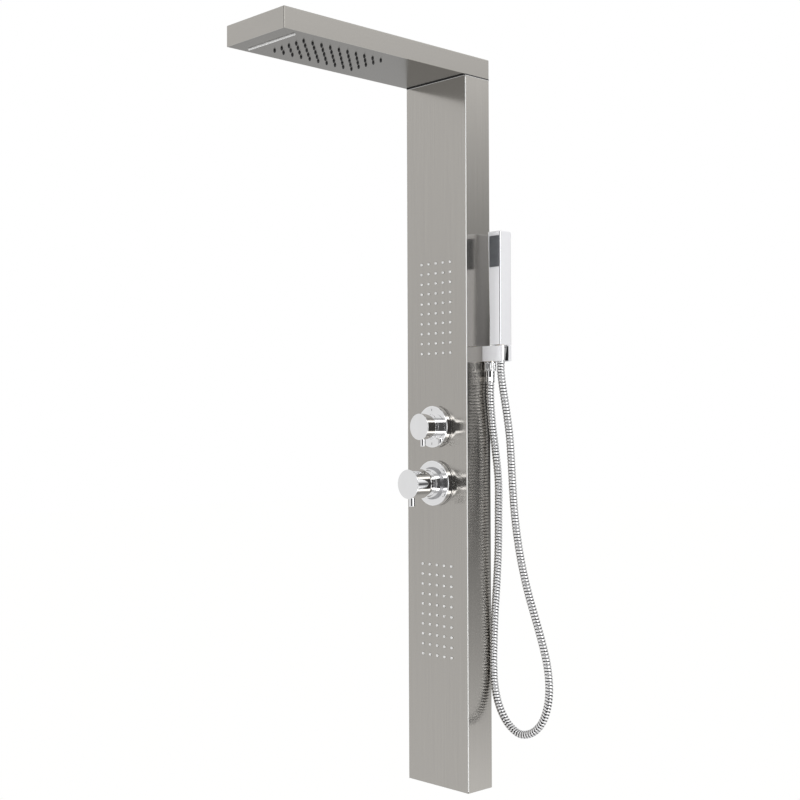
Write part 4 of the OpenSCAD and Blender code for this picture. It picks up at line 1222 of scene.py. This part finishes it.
@dataclass
class HoseFittings:
    """Outlet nut, ferrules and the tapered nut that drops into the bracket."""

    grip_flutes: int = 18
    flute_depth: float = 0.0007
    flute_start: float = 0.0004
    nut_band: float = 0.0022
    nut_wall: float = 0.0034
    nut_chamfer: float = 0.0008
    nut_break: float = 0.0006
    nut_top_wall: float = 0.0030
    ferrule_radius: float = 0.0077
    ferrule_bore: float = 0.0062
    ferrule_tuck: float = 0.0030
    ferrule_foot: float = 0.0005
    bead_height: float = 0.00045
    bead_width: float = 0.0011
    bead_places: tuple[float, float] = (0.004, 0.008)
    cone_taper: float = 0.0028
    cone_straight: float = 0.0046
    cone_foot: float = 0.0006
    cone_foot_rise: float = 0.0004
    cone_foot_edge: float = 0.0002
    cone_shoulder: float = 0.0015
    cone_groove: tuple[float, float, float] = (0.0022, 0.0019, 0.0016)
    cone_groove_depth: float = 0.0004
    cone_rim: float = 0.0006
    cone_wall: float = 0.0026
    cone_floor: float = 0.0040

    def outlet_nut(self) -> str:
        """Fluted nut under the bracket, with a plain band at each end.

        Returns:
            The piece's name.
        """
        low, high = box_of("hose_outlet_nut")
        foot, top = low[2], high[2]
        radius = 0.5 * (high[0] - low[0])
        rows = np.array(
            [
                [radius - self.nut_wall, foot],
                [radius - self.nut_chamfer, foot],
                [radius, foot + self.nut_chamfer],
                [radius, foot + self.nut_band],
                [radius, foot + self.nut_band + self.flute_start],
                [radius, top - self.nut_band - self.flute_start],
                [radius, top - self.nut_band],
                [radius, top - self.nut_break],
                [radius - self.nut_break, top],
                [radius - self.nut_top_wall, top],
            ]
        )
        depths = np.array([0, 0, 0, 0, 1, 1, 0, 0, 0, 0]) * self.flute_depth
        grid = fluted(rows, depths, self.grip_flutes)
        centre = 0.5 * (low + high)
        centre[2] = 0.0
        piece = Piece("outlet_nut_fluted", CHROME)
        return piece.grid(grid + centre, close_rows=True).make("root", "hose_outlet_nut").name

    def outlet_ferrule(self) -> str:
        """Crimped ferrule with two rolled beads where it grips the hose.

        A bead swells the radius by its height times exp(-(distance / width) squared).

        Returns:
            The piece's name.
        """
        low, high = box_of("hose_outlet_ferrule")
        heights = np.linspace(low[2], high[2] - self.ferrule_tuck, 60)
        beads = sum(
            self.bead_height * np.exp(-(((heights - low[2] - place) / self.bead_width) ** 2))
            for place in self.bead_places
        )
        outer = np.stack([self.ferrule_radius + beads, heights], axis=-1)
        outer[0, 0] -= self.ferrule_foot
        inner = np.array([[self.ferrule_bore, heights[-1]], [self.ferrule_bore, heights[0]]])
        centre = 0.5 * (low + high)
        centre[2] = 0.0
        grid = turned(np.vstack([outer, inner]), 64) + centre
        piece = Piece("outlet_ferrule_crimped", CHROME)
        return piece.grid(grid, close_rows=True).make("root", "hose_outlet_ferrule").name

    def cone_nut(self) -> str:
        """Tapered nut with a rolled top rim and a fine groove under it.

        Returns:
            The piece's name.
        """
        low, high = box_of("hose_cone_nut")
        top = 0.5 * (high[0] - low[0])
        foot = top - self.cone_taper
        under, middle, over = (high[2] - drop for drop in self.cone_groove)
        profile = rounded_profile(
            [
                (foot - self.cone_foot, low[2], 0.0),
                (foot, low[2] + self.cone_foot_rise, self.cone_foot_edge),
                (top, high[2] - self.cone_straight, self.cone_shoulder),
                (top, under, 0.0),
                (top - self.cone_groove_depth, middle, 0.0),
                (top, over, 0.0),
                (top, high[2], self.cone_rim),
                (top - self.cone_wall, high[2], 0.0),
                (top - self.cone_wall, low[2] + self.cone_floor, 0.0),
                (foot - self.cone_foot, low[2], 0.0),
            ]
        )
        centre = 0.5 * (low + high)
        centre[2] = 0.0
        grid = turned(profile, 96) + centre
        piece = Piece("cone_nut_turned", CHROME)
        return piece.grid(grid).make("handset", "hose_cone_nut").name

    def build(self) -> tuple[str, ...]:
        """Makes the fittings.

        Returns:
            The names of the pieces on the hose.
        """
        dress("hose_end_ferrule", CHROME)
        return (self.outlet_nut(), self.outlet_ferrule(), self.cone_nut(), "hose_end_ferrule")


# ---------------------------------------------------------------- controls


def dress(node: str, finish: Finish) -> None:
    """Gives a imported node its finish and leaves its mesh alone.

    Args:
        node: the node's name.
        finish: its finish.
    """
    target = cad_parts[node]
    material = SHELF.get(finish)
    for slot in target.material_slots:
        slot.material = material
    if not target.material_slots:
        target.data.materials.append(material)
    LOG.info("%s: kept, %s", node, material.name)


@dataclass
class RoundControl:
    """Sizes that the diverter and the mixer share, measured out from the column's face."""

    prefix: str
    body: str
    knob_edge: float = 0.0009
    knob_back_edge: float = 0.0004
    knob_bore_edge: float = 0.0002
    knob_wall: float = 0.003
    knob_cap: float = 0.004
    plate_edge: float = 0.0020
    plate_width: float = 0.018
    foot_inset: float = 0.0008
    foot_rise: float = 0.0024
    foot_top: float = 0.0032
    foot_edges: tuple[float, float] = (0.0003, 0.0002)
    peg_edge: float = 0.0014
    steps: int = 160

    def stack_of(self, part: str) -> tuple[float, float, float]:
        """Radius, and the near and far distance from the face, of one of the control's nodes.

        Args:
            part: the node's name after the prefix.

        Returns:
            Radius, near distance and far distance.
        """
        low, high = box_of(f"{self.prefix}_{part}")
        return 0.5 * (high[0] - low[0]), self.face_y - high[1], self.face_y - low[1]

    @property
    def face_y(self) -> float:
        """The column face's y."""
        return box_of("column_shell")[0][1]

    @property
    def height(self) -> float:
        """The control's axis above the middle of the panel."""
        low, high = box_of(f"{self.prefix}_escutcheon")
        return 0.5 * (low[2] + high[2])

    def place(self, grid: np.ndarray) -> np.ndarray:
        """Puts a grid turned about local Z on the control's axis."""
        return out_of_panel(grid, self.face_y, self.height)

    def plate(self) -> None:
        """Escutcheon with a quarter-round rim, a fine step at its foot and a ring at its bore."""
        radius, near, far = self.stack_of("escutcheon")
        bore = radius - self.plate_width
        foot = radius - self.foot_inset
        profile = rounded_profile(
            [
                (bore, near, 0.0),
                (foot, near, self.foot_edges[0]),
                (foot, near + self.foot_rise, 0.0),
                (radius, near + self.foot_top, self.foot_edges[1]),
                (radius, far, self.plate_edge),
                (bore, far, 0.0),
                (bore, near, 0.0),
            ],
            steps=12,
        )
        grid = self.place(turned(profile, self.steps))
        Piece(f"{self.prefix}_plate", CHROME).grid(grid).make("root", f"{self.prefix}_escutcheon")

    def knob(self) -> None:
        """Hollow knob with softly broken edges."""
        radius, near, far = self.stack_of("handle")
        bore, ceiling = radius - self.knob_wall, far - self.knob_cap
        profile = rounded_profile(
            [
                (0.0, far, 0.0),
                (radius, far, self.knob_edge),
                (radius, near, self.knob_back_edge),
                (bore, near, self.knob_bore_edge),
                (bore, ceiling, 0.0),
                (0.0, ceiling, 0.0),
            ],
            steps=8,
        )
        grid = self.place(turned(profile, self.steps))
        piece = Piece(f"{self.prefix}_knob_turned", CHROME).grid(grid)
        piece.make(self.body, f"{self.prefix}_handle")

    def pointer(self) -> None:
        """Round peg that hangs under the knob, with a domed end."""
        low, high = box_of(f"{self.prefix}_peg")
        radius = 0.5 * (high[0] - low[0])
        length = high[2] - low[2]
        profile = rounded_profile(
            [
                (0.0, length, 0.0),
                (radius, length, self.peg_edge),
                (radius, 0.0, 0.0),
                (0.0, 0.0, 0.0),
            ],
            steps=8,
        )
        centre = 0.5 * (low + high)
        centre[2] = high[2]
        down = centre + turned(profile, 48) * np.array([1.0, 1.0, -1.0])
        Piece(f"{self.prefix}_pointer", CHROME).grid(down).make(self.body, f"{self.prefix}_peg")


@dataclass
class Diverter(RoundControl):
    """Upper control: knob on a collar, with four index marks on its plate."""

    prefix: str = "diverter"
    body: str = "diverter_knob"
    knob_wall: float = 0.0034
    collar_wall: float = 0.008
    collar_sunk: float = 0.002
    collar_edge: float = 0.0006
    mark_length: float = 0.0042
    mark_width: float = 0.0009
    mark_corner: float = 0.0004
    mark_inset: float = 0.0072
    mark_levels: tuple[float, float] = (-0.0004, 0.00012)

    def collar(self) -> None:
        """Collar behind the knob, with broken edges."""
        radius, _, far = self.stack_of("sleeve")
        near = self.stack_of("escutcheon")[2] - self.collar_sunk
        bore = radius - self.collar_wall
        profile = rounded_profile(
            [
                (bore, near, 0.0),
                (radius, near, 0.0),
                (radius, far, self.collar_edge),
                (bore, far, 0.0),
                (bore, near, 0.0),
            ]
        )
        grid = self.place(turned(profile, self.steps))
        Piece("diverter_collar", CHROME).grid(grid).make("root", "diverter_sleeve")

    def marks(self) -> None:
        """Four raised index marks on the plate, a quarter turn apart."""
        radius, _, far = self.stack_of("escutcheon")
        middle = np.array([0.0, radius - self.mark_inset])
        half = 0.5 * self.mark_width, 0.5 * self.mark_length
        ring = soft_ring(*half, self.mark_corner, 0.0, 3)
        piece = Piece("diverter_marks", RUBBER)
        for angle in 0.25 * FULL_TURN * np.arange(4):
            turn = np.array([[np.cos(angle), np.sin(angle)], [-np.sin(angle), np.cos(angle)]])
            flat = (ring + middle) @ turn
            levels = [far + level for level in self.mark_levels]
            piece.stack(self.place(np.stack([at_level(flat, level) for level in levels])))
        piece.make("root")

    def build(self) -> None:
        """Makes the diverter's visible pieces."""
        self.plate()
        self.marks()
        self.collar()
        self.knob()
        self.pointer()
        dress("diverter_gasket", RUBBER)


@dataclass
class Mixer(RoundControl):
    """Lower control: tilting handle on a domed sleeve."""

    prefix: str = "mixer"
    body: str = "mixer_lever"
    dome: float = 0.0225
    dome_wall: float = 0.004
    dome_lip: float = 0.0105
    dome_sweep: float = math.radians(51.0)
    dome_centre: float = 0.008
    neck_start: float = 0.012
    neck_guard: float = 0.0002
    sleeve_sunk: float = 0.001
    shoulder_edge: float = 0.0007
    neck_edge: float = 0.0003

    def sleeve(self) -> None:
        """Collar and narrower neck in one, with a dome that the handle's bore rides over."""
        radius = self.stack_of("sleeve")[0]
        near = self.stack_of("trim_ring")[2] - self.sleeve_sunk
        back = self.stack_of("handle")[1]
        neck, centre = back - self.neck_start, back - self.dome_centre
        bore = self.dome - self.dome_wall
        collar = rounded_profile(
            [
                (bore, near, 0.0),
                (radius, near, 0.0),
                (radius, neck, self.shoulder_edge),
                (self.dome, neck, self.neck_edge),
                (self.dome, centre - self.neck_guard, 0.0),
            ]
        )
        arc = np.linspace(0.0, self.dome_sweep, 24)
        dome = np.stack([self.dome * np.cos(arc), centre + self.dome * np.sin(arc)], axis=-1)
        inside = [[self.dome - self.dome_lip, centre], [bore, near]]
        grid = self.place(turned(np.vstack([collar, dome, inside]), self.steps))
        Piece("mixer_sleeve_domed", CHROME).grid(grid).make("root", "mixer_sleeve")

    def build(self) -> None:
        """Makes the mixer's visible pieces."""
        self.plate()
        self.sleeve()
        self.knob()
        self.pointer()
        dress("mixer_trim_ring", SATIN)
        dress("mixer_gasket", RUBBER)


# ---------------------------------------------------------------- spray fields


@dataclass
class NozzleField:
    """Soft nozzles on a mat, five across and ten along."""

    node: str
    name: str
    finish: Finish
    radius: float
    pitch: float
    across: int = 5
    along: int = 10
    mat_thick: float = 0.002
    mat_corner: float = 0.003
    nub_root: float = 0.0025
    nub_shape: tuple[tuple[float, float], ...] = (
        (1.0, 0.0),
        (0.97, 0.30),
        (0.87, 0.58),
        (0.70, 0.80),
        (0.48, 0.94),
        (0.24, 1.0),
        (0.14, 0.90),
        (0.0, 0.86),
    )

    def nub(self, tall: float) -> np.ndarray:
        """One nozzle: a dome with a dimple at its outlet, on a plain root inside the sheet.

        Args:
            tall: height above the sheet.

        Returns:
            Small grid, standing on z = 0.
        """
        dome = np.array(self.nub_shape) * np.array([self.radius, tall])
        return turned(np.vstack([[[self.radius, -self.nub_root]], dome]), 20)

    def build_on_panel(self) -> None:
        """Field on the column's face, with its mat behind the sheet."""
        low, high = box_of(self.node)
        face_y = box_of("column_shell")[0][1]
        centre = np.array([0.0, 0.0, 0.5 * (low[2] + high[2])])
        places = on_front(spray_grid(self.across, self.along, self.pitch), face_y, centre)
        piece = Piece(self.name, self.finish)
        piece.copies(out_of_panel(self.nub(face_y - low[1]), 0.0, 0.0), places)
        half = 0.5 * (high - low)
        ring = soft_ring(half[0], half[2], self.mat_corner, 0.0)
        levels = (high[1] - self.mat_thick, high[1])
        piece.stack(np.stack([on_front(ring, y, centre) for y in levels]))
        piece.make("root", self.node, sharp=50.0)

    def build_under_head(self) -> None:
        """Field under the head, with its mat above the base plate."""
        low, high = box_of(self.node)
        floor_z = box_of("head_base_plate")[0][2]
        centre = np.array([0.0, 0.5 * (low[1] + high[1])])
        places = at_level(spray_grid(self.across, self.along, self.pitch) + centre, floor_z)
        piece = Piece(self.name, self.finish)
        piece.copies(self.nub(floor_z - low[2]) * np.array([1.0, -1.0, -1.0]), places)
        half = 0.5 * (high - low)
        ring = soft_ring(half[0], half[1], self.mat_corner, 0.0) + centre
        levels = (high[2] - self.mat_thick, high[2])
        piece.stack(np.stack([at_level(ring, z) for z in levels]))
        piece.make("root", self.node, sharp=50.0)


# ---------------------------------------------------------------- head and column


@dataclass
class HeadBox:
    """Folded cover over the rain head, with an open seam at its two front corners."""

    corner: float = 0.002
    fold: float = 0.002
    sheet: float = 0.0015
    edge: float = 0.0002
    corner_steps: int = 9
    seam_depth: float = 0.0013
    seam_half: float = 0.0005
    # How far the black band of painted shade at the neck joint stands proud of the column, and how
    # far it laps down it
    shade_band_proud: float = 0.0002
    shade_band_lap: float = 0.0009
    rain_radius: float = 0.0021
    rain_pitch: float = 0.0188

    def cover(self) -> None:
        """Carries the fold's profile round a soft rectangle and closes the flat top."""
        low, high = box_of("head_shell")
        foot, top = low[2], high[2]
        half = 0.5 * (high - low)
        centre = 0.5 * (high + low)[:2]
        arc = np.linspace(0.0, 0.25 * FULL_TURN, 7)
        insets = [self.sheet, self.edge, 0.0, 0.0]
        levels = [foot, foot, foot + self.edge, top - self.fold - GUARD]
        insets += list(self.fold * (1.0 - np.cos(arc))) + [self.fold + GUARD]
        levels += list(top - self.fold * (1.0 - np.sin(arc))) + [top]
        inside = soft_ring(half[0], half[1], self.corner, self.sheet, self.corner_steps) + centre
        rings = [at_level(inside, level) for level in (top - self.sheet, foot)]
        for inset, level in zip(insets, levels):
            outline = soft_ring(half[0], half[1], self.corner, inset, self.corner_steps)
            if level < top - 0.5 * self.fold and inset < self.sheet:
                outline = self.open_seams(outline, half)
            rings.append(at_level(outline + centre, level))
        Piece("head_cover", STEEL_FORWARD).stack(np.stack(rings)).make("root", "head_shell")

    def open_seams(self, outline: np.ndarray, half: np.ndarray) -> np.ndarray:
        """Sinks the middle point of the two front corners, where the folded flaps meet.

        Args:
            outline: one ring of the cover.
            half: half its width and depth.

        Returns:
            The ring with its two seams.
        """
        front = outline[:, 1] < 0.0
        lean = (np.abs(outline[:, 0]) - half[0]) - (np.abs(outline[:, 1]) - half[1])
        seam = (np.abs(lean) < self.seam_half) & front
        moved = outline.copy()
        moved[seam] -= np.sign(outline[seam]) * self.seam_depth
        return moved

    def gasket(self) -> None:
        """Black rubber band that stands just proud of the column at the neck joint: painted shade,
        so that the gap's shadow reads as a line; the real neck seal sits further in.
        """
        low, high = box_of("column_shell")
        half, centre = 0.5 * (high - low) + self.shade_band_proud, 0.5 * (high + low)[:2]
        foot, top = high[2] - self.shade_band_lap, box_of("head_shell")[0][2]
        outlines = ((self.sheet, top), (0.0, top), (0.0, foot), (self.shade_band_proud, foot))
        rings = [
            at_level(soft_ring(half[0], half[1], self.corner, inset) + centre, level)
            for inset, level in outlines
        ]
        # Painted shade: black ring standing proud where the joint's gap is in shadow
        Piece("neck_gap_painted_shade", RUBBER).grid(np.stack(rings), close_rows=True).make("root")

    def build(self) -> None:
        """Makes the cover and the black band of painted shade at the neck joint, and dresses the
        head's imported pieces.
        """
        self.cover()
        self.gasket()
        # The base plate under the head takes the darker steel copy, painted shade
        dress("head_base_plate", UNDERSIDE_STEEL_PAINTED_SHADE)
        # The spout's lip is painted white for its reflection of the pale floor
        dress("waterfall_spout", LIP_PAINTED_REFLECTION)
        dress("rain_water_chamber", WHITE_PLASTIC)
        dress("neck_gasket", RUBBER)
        NozzleField(
            "rain_nozzle_mat", "rain_nozzles", BLACK_SILICONE, self.rain_radius, self.rain_pitch
        ).build_under_head()


@dataclass
class ColumnPanel:
    """Folded column with its two fields of body jets."""

    bead: float = 0.00035
    fold: float = 0.002
    drop: float = 0.0009
    # Arc span, end gap, thickness and steps of the painted highlight strips on the folds
    line_from: float = math.radians(-62.0)
    line_to: float = math.radians(-12.0)
    line_end: float = 0.003
    line_thick: float = 0.0001
    line_steps: int = 5
    jet_radius: float = 0.0028
    jet_pitch: float = 0.018

    def top_fold(self) -> None:
        """Bright rolled edge round the column's top: a half circle carried round the outline."""
        low, high = box_of("column_shell")
        half, centre = 0.5 * (high - low), 0.5 * (high + low)[:2]
        top = high[2] - self.drop
        section = [
            (-self.bead * math.cos(turn), top - self.bead + self.bead * math.sin(turn))
            for turn in np.linspace(-0.25 * FULL_TURN, 0.25 * FULL_TURN, 9)
        ]
        section += [(self.bead, top), (self.bead, top - 2.0 * self.bead)]
        rings = [
            at_level(soft_ring(half[0], half[1], self.fold, inset) + centre, level)
            for inset, level in section
        ]
        Piece("column_top_fold", CHROME).grid(np.stack(rings), close_rows=True).make("root")

    def painted_fold_highlights(self) -> None:
        """Painted highlight along each upright fold: a pale, dull thin shell over the middle of its
        arc.
        """
        low, high = box_of("column_shell")
        angle = np.linspace(self.line_from, self.line_to, self.line_steps)
        centre = np.array([high[0] - self.fold, low[1] + self.fold])
        spoke = np.stack([np.cos(angle), np.sin(angle)], axis=-1)
        outer = centre + (self.fold + self.line_thick) * spoke
        inner = centre + (self.fold - self.line_thick) * spoke
        outline = np.vstack([outer, inner[::-1]])
        ends = (low[2] + self.line_end, high[2] - self.line_end)
        right = np.stack([at_level(outline, level) for level in ends])
        left = right[:, ::-1] * np.array([-1.0, 1.0, 1.0])
        Piece("column_fold_painted_highlights", FOLD_PAINTED_HIGHLIGHT).stack(right).stack(left).make("root")

    def build(self) -> None:
        """Dresses the column and makes the jets."""
        self.top_fold()
        self.painted_fold_highlights()
        dress("column_shell", STEEL_UP)
        dress("column_bottom_cap", STEEL_UP)
        for level in ("upper", "lower"):
            mat, jets = f"{level}_jet_mat", f"{level}_jets"
            spray = NozzleField(mat, jets, JET_SILICONE, self.jet_radius, self.jet_pitch)
            spray.build_on_panel()
            dress(f"{level}_jet_chamber", WHITE_PLASTIC)


# ---------------------------------------------------------------- bracket and handset


def mark_mirror(made: bpy.types.Object, square_on: float = 0.97) -> None:
    """Marks every face as mirror metal except the flat front and outer side, which stay milky.

    Args:
        made: object in the pearl chrome finish.
        square_on: least share of a face's normal that points out of the front or the side.
    """
    polygons = made.data.polygons
    normals = np.empty(3 * len(polygons), dtype=np.float32)
    polygons.foreach_get("normal", normals)
    mark = made.data.attributes.new("mirror", "FLOAT", "FACE")
    milky = (normals[0::3] > square_on) | (normals[1::3] < -square_on)
    mark.data.foreach_set("value", (~milky).astype(np.float32))


@dataclass
class Bracket:
    """Block on the column's side that feeds the hose and holds the handset."""

    edge: float = 0.0006
    slot_width: float = 0.017
    seat_top: float = 0.0116
    seat_low: float = 0.0088
    straight: float = 0.004
    seat_back: float = 0.0115
    lining_faces: tuple[float, float] = (0.00005, 0.00017)
    arc_steps: int = 36

    def seat_arc(self, seat_radius: float, inset: float) -> tuple[np.ndarray, np.ndarray]:
        """Arc of the round seat, from one wall of the slot round to the other.

        It starts at asin(half the slot's width / the radius) from the slot's middle.

        Args:
            seat_radius: radius of the seat at that height.
            inset: distance from the block's walls, inwards into the hollow.

        Returns:
            The seat's centre and the arc's points.
        """
        low, high = box_of("bracket_block")
        centre = np.array([high[0] - self.seat_back, 0.5 * (low[1] + high[1])])
        radius = seat_radius - inset
        open_angle = math.asin((0.5 * self.slot_width - inset) / radius)
        angle = np.linspace(open_angle, FULL_TURN - open_angle, self.arc_steps)
        return centre, centre + radius * np.stack([np.cos(angle), np.sin(angle)], axis=-1)

    def outline(self, seat_radius: float) -> np.ndarray:
        """Plan of the block at one height: a rectangle with a slot that opens into a round seat.

        Args:
            seat_radius: radius of the seat at that height.

        Returns:
            Closed outline, anticlockwise, the same number of points at every height.
        """
        low, high = box_of("bracket_block")
        centre, arc = self.seat_arc(seat_radius, 0.0)
        half_slot = 0.5 * self.slot_width
        corners = np.array(
            [
                [high[0], centre[1] - half_slot],
                [high[0], low[1]],
                [low[0], low[1]],
                [low[0], high[1]],
                [high[0], high[1]],
                [high[0], centre[1] + half_slot],
            ]
        )
        return np.vstack([corners, arc])

    def lining(self, seat_radius: float) -> np.ndarray:
        """Plan of the thin black lining that covers the slot and the seat.

        Args:
            seat_radius: radius of the seat at that height.

        Returns:
            Closed outline, anticlockwise, out along the walls and back just inside them.
        """
        mouth = box_of("bracket_block")[1][0] - 2.0 * self.edge
        sides = []
        for inset in self.lining_faces:
            centre, arc = self.seat_arc(seat_radius, inset)
            half_slot = 0.5 * self.slot_width - inset
            ends = np.array([[mouth, centre[1] + half_slot], [mouth, centre[1] - half_slot]])
            sides.append(np.vstack([ends[:1], arc, ends[1:]]))
        return np.vstack([sides[0], sides[1][::-1]])

    def build(self) -> None:
        """Stacks the plan at the foot, at the taper's end and at the top, then lines the slot."""
        low, high = box_of("bracket_block")
        foot, top = low[2], high[2]
        taper_end, clear = top - self.straight, 2.0 * self.edge
        radii = (self.seat_low, self.seat_top, self.seat_top)
        rings = [
            at_level(self.outline(radius), level)
            for radius, level in zip(radii, (foot, taper_end, top))
        ]
        shell = Piece("bracket_pearl", PEARL).stack(np.stack(rings))
        mark_mirror(shell.make("root", "bracket_block", bevel=self.edge))
        rings = [
            at_level(self.lining(radius), level)
            for radius, level in zip(radii, (foot + clear, taper_end, top - clear))
        ]
        Piece("bracket_lining", RUBBER).stack(np.stack(rings)).make("root")


@dataclass
class Handset:
    """Square stick handset with a soft grey spray face."""

    corner: float = 0.0025
    edge: float = 0.0010
    face_corner: float = 0.0012
    face_edge: float = 0.0008
    face_sunk: float = 0.0005
    taper: float = 0.004
    nozzle_radius: float = 0.0008
    nozzle_pitch: float = 0.0046
    nozzle_root: float = 0.001
    nozzle_shape: tuple[tuple[float, float], ...] = (
        (1.0, 0.0002),
        (0.7, 0.0005),
        (0.35, 0.0005),
        (0.0, 0.0001),
    )
    nozzles_across: int = 3
    nozzles_along: int = 11

    def soft_box(
        self, low: np.ndarray, high: np.ndarray, corner: float, edge: float
    ) -> np.ndarray:
        """Box with round upright corners and round top and bottom edges, as a stack of rings.

        Args:
            low: lowest corner.
            high: highest corner.
            corner: radius of the upright corners.
            edge: radius of the top and bottom edges.

        Returns:
            Rings from the bottom to the top.
        """
        half, centre = 0.5 * (high - low), 0.5 * (high + low)[:2]
        arc = np.linspace(0.0, 0.25 * FULL_TURN, 6)
        rise = np.concatenate([[0.0], edge * (1.0 - np.cos(arc)), [edge + GUARD]])
        inset = np.concatenate([[edge + GUARD], edge * (1.0 - np.sin(arc)), [0.0]])
        levels = np.concatenate([low[2] + rise, high[2] - rise[::-1]])
        insets = np.concatenate([inset, inset[::-1]])
        return np.stack(
            [
                at_level(soft_ring(half[0], half[1], corner, inset) + centre, level)
                for inset, level in zip(insets, levels)
            ]
        )

    def body(self) -> None:
        """Stick whose inner side leans out towards the top by the taper."""
        low, high = box_of("handset_body")
        rings = self.soft_box(low, high, self.corner, self.edge)
        rise = (rings[..., 2] - low[2]) / (high[2] - low[2])
        inner_side = rings[..., 0] < 0.5 * (low[0] + high[0])
        rings[..., 0] -= self.taper * rise * inner_side
        mark_mirror(Piece("handset_stick", PEARL).stack(rings).make("handset", "handset_body"))

    def spray_face(self) -> None:
        """Grey face with fine nozzles, turned so that its round edges face out of the stick."""
        low, high = box_of("handset_nozzle_plate")
        front = low[1] + self.face_sunk
        local_low = np.array([low[0], low[2], 0.0])
        local_high = np.array([high[0], high[2], high[1] - front])
        rings = self.soft_box(local_low, local_high, self.face_corner, self.face_edge)
        piece = Piece("handset_spray_face", GREY_SILICONE).stack(out_of_panel(rings, high[1], 0.0))
        radius = self.nozzle_radius
        dome = np.array(self.nozzle_shape) * np.array([radius, 1.0])
        nub = turned(np.vstack([[[radius, -self.nozzle_root]], dome]), 12)
        flat = spray_grid(self.nozzles_across, self.nozzles_along, self.nozzle_pitch)
        piece.copies(out_of_panel(nub, 0.0, 0.0), on_front(flat, front, 0.5 * (low + high)))
        piece.make("handset", "handset_nozzle_plate", sharp=50.0)

    def build(self) -> None:
        """Makes the stick and its spray face, and dresses its threaded inlet."""
        self.body()
        self.spray_face()
        dress("handset_inlet", BRASS)
        dress("handset_washer", RUBBER)


# ---------------------------------------------------------------- inside the panel


@dataclass
class Pipework:
    """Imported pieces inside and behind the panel, which keep their meshes."""

    finishes: tuple[tuple[Finish, tuple[str, ...]], ...] = (
        (ZINC_STEEL, ("head_bolts", "panel_nuts", "rail_screws")),
        (ZINC_STEEL, ("rear_rail_upper", "rear_rail_lower")),
        (ZINC_STEEL, ("wall_hanger_upper", "wall_hanger_lower")),
        (BRASS, ("diverter_body", "diverter_lock_nut", "diverter_spindle")),
        (BRASS, ("mixer_body", "mixer_lock_nut", "mixer_spindle", "mixer_outlet_pipe")),
        (BRASS, ("bracket_supply_nipple", "bracket_lock_nut", "bracket_outlet_nipple")),
        (CARTRIDGE, ("diverter_cartridge", "mixer_cartridge", "mixer_guide")),
        (CHROME, ("hot_inlet_union", "cold_inlet_union")),
        (FEED_TUBE, ("rain_feed_hose", "waterfall_feed_hose", "handset_feed_hose")),
        (FEED_TUBE, ("upper_jet_feed_hose", "lower_jet_feed_hose")),
    )

    def build(self) -> None:
        """Dresses every piece."""
        for finish, nodes in self.finishes:
            for node in nodes:
                dress(node, finish)


def main() -> None:
    """Builds the studio, the hose and every sub-assembly."""
    logging.basicConfig(level=logging.INFO, format="%(name)s: %(message)s")
    Studio().build()
    fittings = HoseFittings().build()
    ShowerHose(fittings=fittings).build()
    ColumnPanel().build()
    HeadBox().build()
    Diverter().build()
    Mixer().build()
    Bracket().build()
    Handset().build()
    Pipework().build()


if __name__ == "__main__":
    main()
